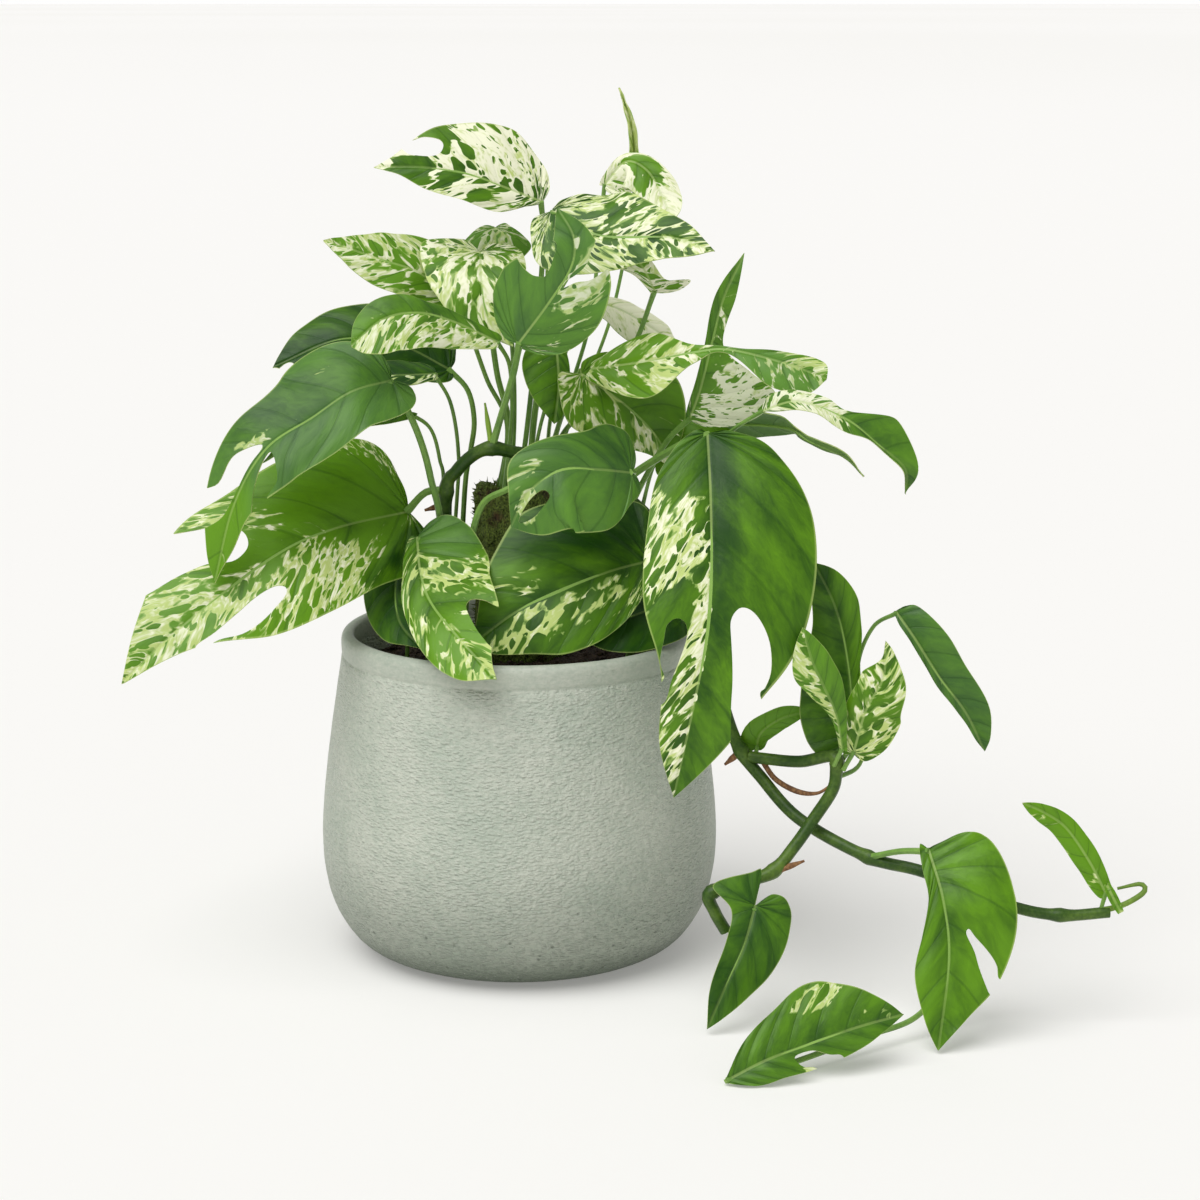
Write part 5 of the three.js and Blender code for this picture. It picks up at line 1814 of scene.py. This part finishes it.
@dataclass
class Pot:
    """The glazed pot, drawn up from its foot ring by ring, over the rim and down inside."""

    outside: tuple[Flat, ...] = (
        (58, 0), (66, 1.5), (75, 6), (82, 14), (87.5, 25), (90.5, 38), (91.5, 51), (91, 66), (89, 86),
        (86, 108), (81.3, 138.6),
    )
    rim: tuple[Flat, ...] = (
        (80.7, 139.5), (81.2, 141), (81.3, 146), (80.6, 148.4), (79.2, 149.6), (77.6, 150), (76.2, 149.5),
        (75.4, 148),
    )
    inside: tuple[Flat, ...] = ((76.8, 132), (82, 86), (84.5, 55), (82, 35), (74, 18), (60, 8.2))
    sides: int = 288
    wall_rings: int = 64
    rim_rings: int = 26
    inner_rings: int = 22
    hammer: float = 0.14

    def profile(self) -> np.ndarray:
        """Gives the rings as radius and height, from the foot round to the floor inside."""
        drawn = Line(tuple((radius, 0.0, z) for radius, z in self.outside))
        wall = drawn.at(np.linspace(0, 1, self.wall_rings))[:, [0, 2]]
        lip = Line(tuple((radius, 0.0, z) for radius, z in (self.outside[-1], *self.rim)))
        edge = lip.at(np.linspace(0, 1, self.rim_rings))[1:, [0, 2]]
        back = Line(tuple((radius, 0.0, z) for radius, z in (self.rim[-1], *self.inside)))
        inner = back.at(np.linspace(0, 1, self.inner_rings))[1:, [0, 2]]
        return np.vstack([wall, edge, inner])

    def build(self, finish: bpy.types.Material) -> bpy.types.Object:
        """Draws the pot up.

        Args:
            finish: Its glaze.

        Returns:
            The finished object.
        """
        rings = self.profile()
        bpy.ops.object.select_all(action="DESELECT")
        bpy.ops.mesh.primitive_circle_add(
            vertices=self.sides, radius=float(rings[0][0]) * MM, fill_type="NGON", location=(0, 0, 0)
        )
        pot = fresh_primitive("glazed_pot")
        bpy.ops.object.mode_set(mode="EDIT")
        bpy.ops.mesh.select_all(action="SELECT")
        for (before, low), (radius, high) in zip(rings[:-1], rings[1:]):
            rise = {"value": (0, 0, float(high - low) * MM)}
            bpy.ops.mesh.extrude_region_move(TRANSFORM_OT_translate=rise)
            share = float(radius / before)
            bpy.ops.transform.resize(value=(share, share, 1), center_override=(0, 0, float(high) * MM))
        bpy.ops.mesh.select_all(action="SELECT")
        bpy.ops.mesh.normals_make_consistent(inside=False)
        bpy.ops.object.mode_set(mode="OBJECT")
        self.hammered(pot)
        pot.data.materials.append(finish)
        bpy.ops.object.shade_smooth_by_angle(angle=SMOOTH_POT)
        return pot

    def hammered(self, pot: bpy.types.Object) -> None:
        """Presses shallow dimples into the outer wall, deeper towards the foot.

        Args:
            pot: The smooth pot.
        """
        spots = spots_of(pot) / MM
        radius = np.hypot(spots[:, 0], spots[:, 1])
        turn = np.arctan2(spots[:, 1], spots[:, 0])
        z = spots[:, 2]
        outer = (radius > np.interp(z, [0, 14, 38, 51, 138], [56, 79, 88, 89, 79])) & (z > 1) & (z < 138)
        dents = np.sin(turn * 61 + z * 0.9) * np.sin(turn * 37 - z * 1.3)
        dents = dents + np.sin(turn * 83 - z * 0.7 + 2) * 0.6
        depth = self.hammer * (0.45 + 0.55 * (1 - smooth_share(z, 20, 110)))
        pull = np.where(outer, 1 - depth * (1 + dents) / 2 / np.maximum(radius, 1), 1)
        spots[:, 0] *= pull
        spots[:, 1] *= pull
        place_spots(pot, spots * MM)


def rolling(x: np.ndarray, y: np.ndarray) -> np.ndarray:
    """Gives uneven ground, in millimetres, the same at each run."""
    return np.sin(x * 0.31 + 1.3) * np.cos(y * 0.27) + 0.6 * np.sin(x * 0.13 - y * 0.21)


@dataclass
class SoilBed:
    """The crumbly soil in the pot: an uneven top with loose crumbs, closed below."""

    edge: float = 76.3
    top: float = 134.0
    crown: float = 4.0
    depth: float = 22.0
    cells: int = 110
    crumbs: int = 900
    crumb_sizes: Flat = (0.6, 1.9)
    seed: int = 5

    def build(self, finish: bpy.types.Material) -> bpy.types.Object:
        """Lays the bed and scatters its crumbs.

        Args:
            finish: The soil's finish.

        Returns:
            The finished object.
        """
        bpy.ops.object.select_all(action="DESELECT")
        bpy.ops.mesh.primitive_grid_add(x_subdivisions=self.cells, y_subdivisions=self.cells, size=2)
        bed = fresh_primitive("crumbly_soil")
        spots = spots_of(bed)
        x, y = spots[:, 0], spots[:, 1]
        disc_x = x * np.sqrt(1 - y * y / 2) * self.edge
        disc_y = y * np.sqrt(1 - x * x / 2) * self.edge
        place_spots(bed, np.column_stack([disc_x, disc_y, self.height(disc_x, disc_y)]) * MM)
        self.fill_below(bed)
        bed.data.materials.append(finish)
        return fuse("crumbly_soil", [bed, *self.scatter(finish)])

    def fill_below(self, bed: bpy.types.Object) -> None:
        """Gives the bed a flat underside straight below its top.

        Args:
            bed: The open top.
        """
        fall = {"value": (0, 0, -self.depth * MM)}
        edit_all(bed, lambda: bpy.ops.mesh.extrude_region_move(TRANSFORM_OT_translate=fall))
        spots = spots_of(bed)
        low = spots[:, 2] < (self.top - self.depth / 2) * MM
        spots[low, 2] = (self.top - self.depth) * MM
        place_spots(bed, spots)
        edit_all(bed, turn_faces_out)

    def height(self, x: np.ndarray, y: np.ndarray) -> np.ndarray:
        """Gives the ground's height in millimetres."""
        share = np.hypot(x, y) / self.edge
        fine = 0.5 * np.sin(x * 1.1) * np.sin(y * 1.3 + 0.4) + 0.35 * np.sin(x * 2.3 - y * 1.9)
        return self.top - self.crown * share**2 + rolling(x, y) * 0.9 + fine * (share < 0.98)

    def scatter(self, finish: bpy.types.Material) -> list[bpy.types.Object]:
        """Scatters loose crumbs over the bed.

        Args:
            finish: The soil's finish.

        Returns:
            The crumbs.
        """
        bpy.ops.object.select_all(action="DESELECT")
        bpy.ops.mesh.primitive_ico_sphere_add(subdivisions=1, radius=1)
        crumb = fresh_primitive("crumb")
        crumb.data.materials.append(finish)
        model = spots_of(crumb)
        chance = np.random.default_rng(self.seed)
        made = []
        for _ in range(self.crumbs):
            turn = chance.uniform(0, 2 * math.pi)
            reach = (self.edge - 3) * math.sqrt(chance.uniform(0, 1))
            size = chance.uniform(*self.crumb_sizes)
            x, y = reach * math.cos(turn), reach * math.sin(turn)
            z = float(self.height(np.array([x]), np.array([y]))[0])
            copy = copy_of(crumb)
            rough = model * chance.uniform(0.6, 1.2, (len(model), 1)) * size
            place_spots(copy, (rough + np.array([x, y, z + size * 0.3])) * MM)
            made.append(copy)
        bpy.data.objects.remove(crumb, do_unlink=True)
        return made


@dataclass
class MossStake:
    """The top of the mossy coir stake: a rough round column with tufts of moss."""

    x: float = 0.0
    y: float = 14.0
    radius: float = 20.2
    bottom: float = 124.0
    top: float = 214.0
    sides: int = 72
    cuts: int = 15
    tufts: int = 1500
    tuft_lengths: Flat = (1.6, 3.4)
    tuft_widths: Flat = (0.8, 1.4)
    seed: int = 11

    def build(self, finish: bpy.types.Material) -> bpy.types.Object:
        """Builds the column and plants its tufts.

        Args:
            finish: Moss over coir.

        Returns:
            The finished object.
        """
        bpy.ops.object.select_all(action="DESELECT")
        bpy.ops.mesh.primitive_cylinder_add(
            vertices=self.sides, radius=1, depth=2, end_fill_type="TRIFAN", location=(0, 0, 0)
        )
        column = fresh_primitive("mossy_stake")
        edit_all(column, lambda: bpy.ops.mesh.subdivide(number_cuts=self.cuts))
        spots = spots_of(column)
        place_spots(column, self.shaped(spots) * MM)
        column.data.materials.append(finish)
        bpy.ops.object.shade_smooth_by_angle(angle=SMOOTH_POT)
        return fuse("mossy_stake", [column, *self.plant(finish)])

    def shaped(self, spots: np.ndarray) -> np.ndarray:
        """Turns a plain column into a knobbly one.

        Args:
            spots: The plain column's vertices, one high and one wide.

        Returns:
            The shaped vertices in millimetres.
        """
        turn = np.arctan2(spots[:, 1], spots[:, 0])
        reach = np.hypot(spots[:, 0], spots[:, 1])
        z = self.bottom + (spots[:, 2] + 1) / 2 * (self.top - self.bottom)
        knobs = np.sin(turn * 9 + z * 0.5) * np.sin(z * 0.42 - turn * 3) + 0.5 * np.sin(turn * 17 - z * 0.9)
        knobs = knobs + 0.35 * np.sin(turn * 31 + z * 1.7)
        radius = reach * (self.radius + 0.75 * knobs * reach)
        ragged = np.where(spots[:, 2] > 0.99, 1.6 * np.sin(turn * 5 + reach * 7) * reach - 1.6, 0)
        return np.column_stack([self.x + radius * np.cos(turn), self.y + radius * np.sin(turn), z + ragged])

    def plant(self, finish: bpy.types.Material) -> list[bpy.types.Object]:
        """Plants little pointed moss leaves over the column and its top.

        Args:
            finish: Moss over coir.

        Returns:
            The tufts.
        """
        bpy.ops.object.select_all(action="DESELECT")
        bpy.ops.mesh.primitive_cone_add(vertices=4, radius1=0.42, radius2=0.05, depth=1, location=(0, 0, 0.5))
        tuft = fresh_primitive("tuft")
        bpy.ops.object.transform_apply(location=True, rotation=False, scale=False)
        tuft.data.materials.append(finish)
        model = spots_of(tuft)
        chance = np.random.default_rng(self.seed)
        made = []
        for _ in range(self.tufts):
            turn = chance.uniform(0, 2 * math.pi)
            on_top = chance.uniform(0, 1) < 0.2
            reach = self.radius * (math.sqrt(chance.uniform(0, 1)) if on_top else 1.0)
            z = self.top - 1.5 if on_top else chance.uniform(self.bottom + 8, self.top - 1)
            outward = np.array([math.cos(turn), math.sin(turn), 0.0])
            aim = np.array([0, 0, 1.0]) if on_top else outward
            lean = chance.normal(0, 0.55, 3)
            up = unit(aim + lean + np.array([0, 0, 0.35]))
            side = unit(np.cross(up, np.array([0.3, 0.5, 0.8])))
            other = np.cross(up, side)
            length, thick = chance.uniform(*self.tuft_lengths), chance.uniform(*self.tuft_widths)
            shape = model[:, :1] * side * thick + model[:, 1:2] * other * thick + model[:, 2:] * up * length
            foot = np.array([self.x, self.y, z]) + outward * (reach - 0.4)
            copy = copy_of(tuft)
            place_spots(copy, (shape + foot) * MM)
            made.append(copy)
        bpy.data.objects.remove(tuft, do_unlink=True)
        return made


@dataclass
class Vines:
    """The two bare stems with their nodes, roots and dry stubs."""

    long: tuple[Spot, ...] = (
        (-31, 0, 122), (-32, -5, 164), (-32, -13, 214), (-27, -16, 225), (-19, -18, 233), (-11, -19, 236),
        (-2, -17, 234), (8, -14, 232), (22, -12, 228), (42, -13, 218), (62, -18, 201), (78, -30, 174),
        (87, -44, 145), (94, -52, 120), (100, -56, 106), (108, -60, 96), (125, -74, 80), (154, -92, 68),
        (177, -104, 65), (213, -110, 52), (235, -111, 48), (256, -110, 49),
    )
    long_nodes: tuple[Spot, ...] = (
        (-31, -14, 216), (-11, -19, 236), (100, -56, 106), (154, -92, 68), (196, -108, 58), (235, -111, 48),
    )
    long_tip: tuple[Spot, ...] = (
        (250, -110, 49), (262, -109, 52), (271, -107, 57), (270, -105, 60), (260, -105, 58),
    )
    short: tuple[Spot, ...] = (
        (104, -58, 104), (109, -61, 104), (125, -70, 105), (139, -80, 110), (140, -82, 102), (138, -84, 95),
        (130, -86, 83), (122, -90, 72.5), (112, -94, 62), (98, -97, 58), (85, -100, 54), (87, -100, 46),
        (92, -100, 37),
    )
    short_nodes: tuple[Spot, ...] = ((140, -81, 107), (112, -94, 62), (85, -100, 54))
    root: tuple[Spot, ...] = (
        (109, -61, 103), (115, -63, 95), (124, -74, 92.5), (132, -82, 94), (138, -83, 98),
    )
    long_stubs: tuple[tuple[Spot, ...], ...] = (
        ((-31, -8, 209), (-42, -9, 206)),
        ((100, -56, 106), (93, -53, 99)),
    )
    bud: tuple[Spot, ...] = ((-11, -19, 236), (-14, -16, 256))
    short_stub: tuple[Spot, ...] = ((113, -94, 62), (126, -94, 67))
    radius: float = 2.9

    def build_long(self, finish: bpy.types.Material) -> bpy.types.Object:
        """Builds the old trailing stem with its curled tip and stubs."""
        stem = Shoot(points=self.long, radius=self.radius, swellings=self.long_nodes, taper=0.85, pale=0.2)
        tip = Shoot(points=self.long_tip, radius=1.3, taper=0.5, foot=1.3, brown=0.3, pale=0.5)
        pieces = [stem.build("stem", finish), tip.build("tip", finish)]
        pieces.append(Shoot(points=self.bud, radius=1.2, taper=0.4, foot=1.4, pale=0.8).build("bud", finish))
        for stub in self.long_stubs:
            pieces.append(self.stub(stub, 1.5).build("stub", finish))
        return fuse("trailing_stem", pieces)

    def build_short(self, finish: bpy.types.Material) -> bpy.types.Object:
        """Builds the side stem with its dry root and stub."""
        stem = Shoot(points=self.short, radius=self.radius - 0.2, swellings=self.short_nodes, pale=0.24)
        root = Shoot(points=self.root, radius=1.25, taper=0.5, brown=1.0)
        pieces = [stem.build("stem", finish), root.build("root", finish)]
        pieces.append(self.stub(self.short_stub, 1.4).build("stub", finish))
        return fuse("side_stem", pieces)

    def stub(self, points: tuple[Spot, ...], radius: float) -> Shoot:
        """Gives a dry stub."""
        return Shoot(points=points, radius=radius, taper=0.4, foot=1.5, brown=1.0)


@dataclass
class Studio:
    """The pale floor, the soft light and the camera."""

    target: Spot = (37.4, 0.0, 162.6)
    distance: float = 1300.0
    pitch: float = 12.0
    lens: float = 85.0
    sky: float = 0.4
    backdrop: float = 1.0
    backdrop_band: Flat = (0.12, 0.06)
    floor_size: float = 400.0
    sun_place: Spot = (-450, -620, 1500)
    sun_strength: float = 2.3
    sun_spread: float = 50.0

    def build(self) -> None:
        """Sets the studio up."""
        bpy.ops.object.select_all(action="DESELECT")
        bpy.ops.mesh.primitive_plane_add(size=self.floor_size, location=(0, 0, 0))
        floor = fresh_primitive("pale_floor")
        floor.data.materials.append(PaleFloor().build())
        self.add_sky()
        self.add_sun()
        self.add_camera()
        bpy.context.scene.view_settings.view_transform = "Standard"

    def add_sky(self) -> None:
        """Fills the surroundings with even white light, brighter along the horizon."""
        world = bpy.data.worlds.new("white_room")
        bench = Bench(world, "ShaderNodeBackground", "ShaderNodeOutputWorld")
        way = bench.node("ShaderNodeTexCoord", {}, {})["Generated"]
        _, _, up = bench.split(way)
        strength = abs(up).smooth(*self.backdrop_band) * (self.backdrop - self.sky) + self.sky
        bench.fill(Color=(1.0, 0.997, 0.99, 1.0), Strength=strength)
        bpy.context.scene.world = world

    def add_sun(self) -> None:
        """Hangs one very wide soft lamp above the front left."""
        bpy.ops.object.light_add(type="SUN", location=tuple(value * MM for value in self.sun_place))
        lamp = bpy.context.active_object
        lamp.name = "wide_soft_lamp"
        lamp.data.energy = self.sun_strength
        lamp.data.angle = math.radians(self.sun_spread)
        aim = np.array(self.target) - np.array(self.sun_place)
        lamp.rotation_mode = "QUATERNION"
        lamp.rotation_quaternion = Vector(aim).to_track_quat("-Z", "Y")

    def add_camera(self) -> None:
        """Puts the camera at the photograph's angle."""
        pitch = math.radians(self.pitch)
        x, y, z = self.target
        place = (x, y - self.distance * math.cos(pitch), z + self.distance * math.sin(pitch))
        bpy.ops.object.camera_add(
            location=tuple(value * MM for value in place), rotation=(math.pi / 2 - pitch, 0, 0)
        )
        camera = bpy.context.active_object
        camera.name = "front_view"
        camera.data.lens = self.lens
        bpy.context.scene.camera = camera


@dataclass
class Plant:
    """The whole potted plant, piece by piece."""

    pot: Pot = field(default_factory=Pot)
    soil: SoilBed = field(default_factory=SoilBed)
    stake: MossStake = field(default_factory=MossStake)
    vines: Vines = field(default_factory=Vines)

    def build(self) -> None:
        """Builds and dresses every piece and rides it on the plant."""
        hand_over(self.pot.build(Glaze().build()), ("pot",), Slot.POT)
        hand_over(self.soil.build(Earth().build()), ("soil",), Slot.SOIL)
        hand_over(self.stake.build(Moss().build()), ("moss_stake",), Slot.MOSS)
        skin = Stem("vine_skin").build()
        hand_over(self.vines.build_long(skin), ("vine_long",), Slot.STEM)
        hand_over(self.vines.build_short(skin), ("vine_short",), Slot.STEM)
        self.build_leaves()

    def build_leaves(self) -> None:
        """Builds the leaves, each fused with the twin that shares its stalk."""
        under = Blade(
            "blade_under", deep=tint(84, 120, 66), fresh=tint(126, 162, 84), soft=tint(158, 184, 128),
            lime=tint(200, 212, 160), cream=tint(226, 230, 202), roughness=0.55, vein_depth=-0.25, shine=0.3,
        )
        stalk = Stem("stalk_skin", dark=tint(66, 112, 44), light=tint(138, 176, 84))
        finishes = {
            "upper": Blade("blade_upper").build(),
            "under": under.build(),
            "edge": BladeEdge().build(),
            "stalk": stalk.build(),
        }
        maker = LeafMaker(finishes)
        twins = [leaf for leaf in LEAVES if leaf.grows_on.startswith("leaf")]
        for number, leaf in enumerate(LEAVES):
            if leaf in twins:
                continue
            pieces = [maker.build(leaf, number)]
            for twin in twins:
                if twin.grows_on == leaf.name:
                    pieces.append(maker.build(twin, number + 60))
            whole = fuse(f"{leaf.name}_fine", pieces)
            cream = max(leaf.marbling.left, leaf.marbling.right)
            hand_over(whole, (leaf.name,), Slot.MARBLED if cream > 0.2 else Slot.GREEN)


def main() -> None:
    """Builds the plant and its studio, in order."""
    logging.basicConfig(level=logging.INFO, format="%(name)s: %(message)s")
    Plant().build()
    Studio().build()


if __name__ == "__main__":
    main()
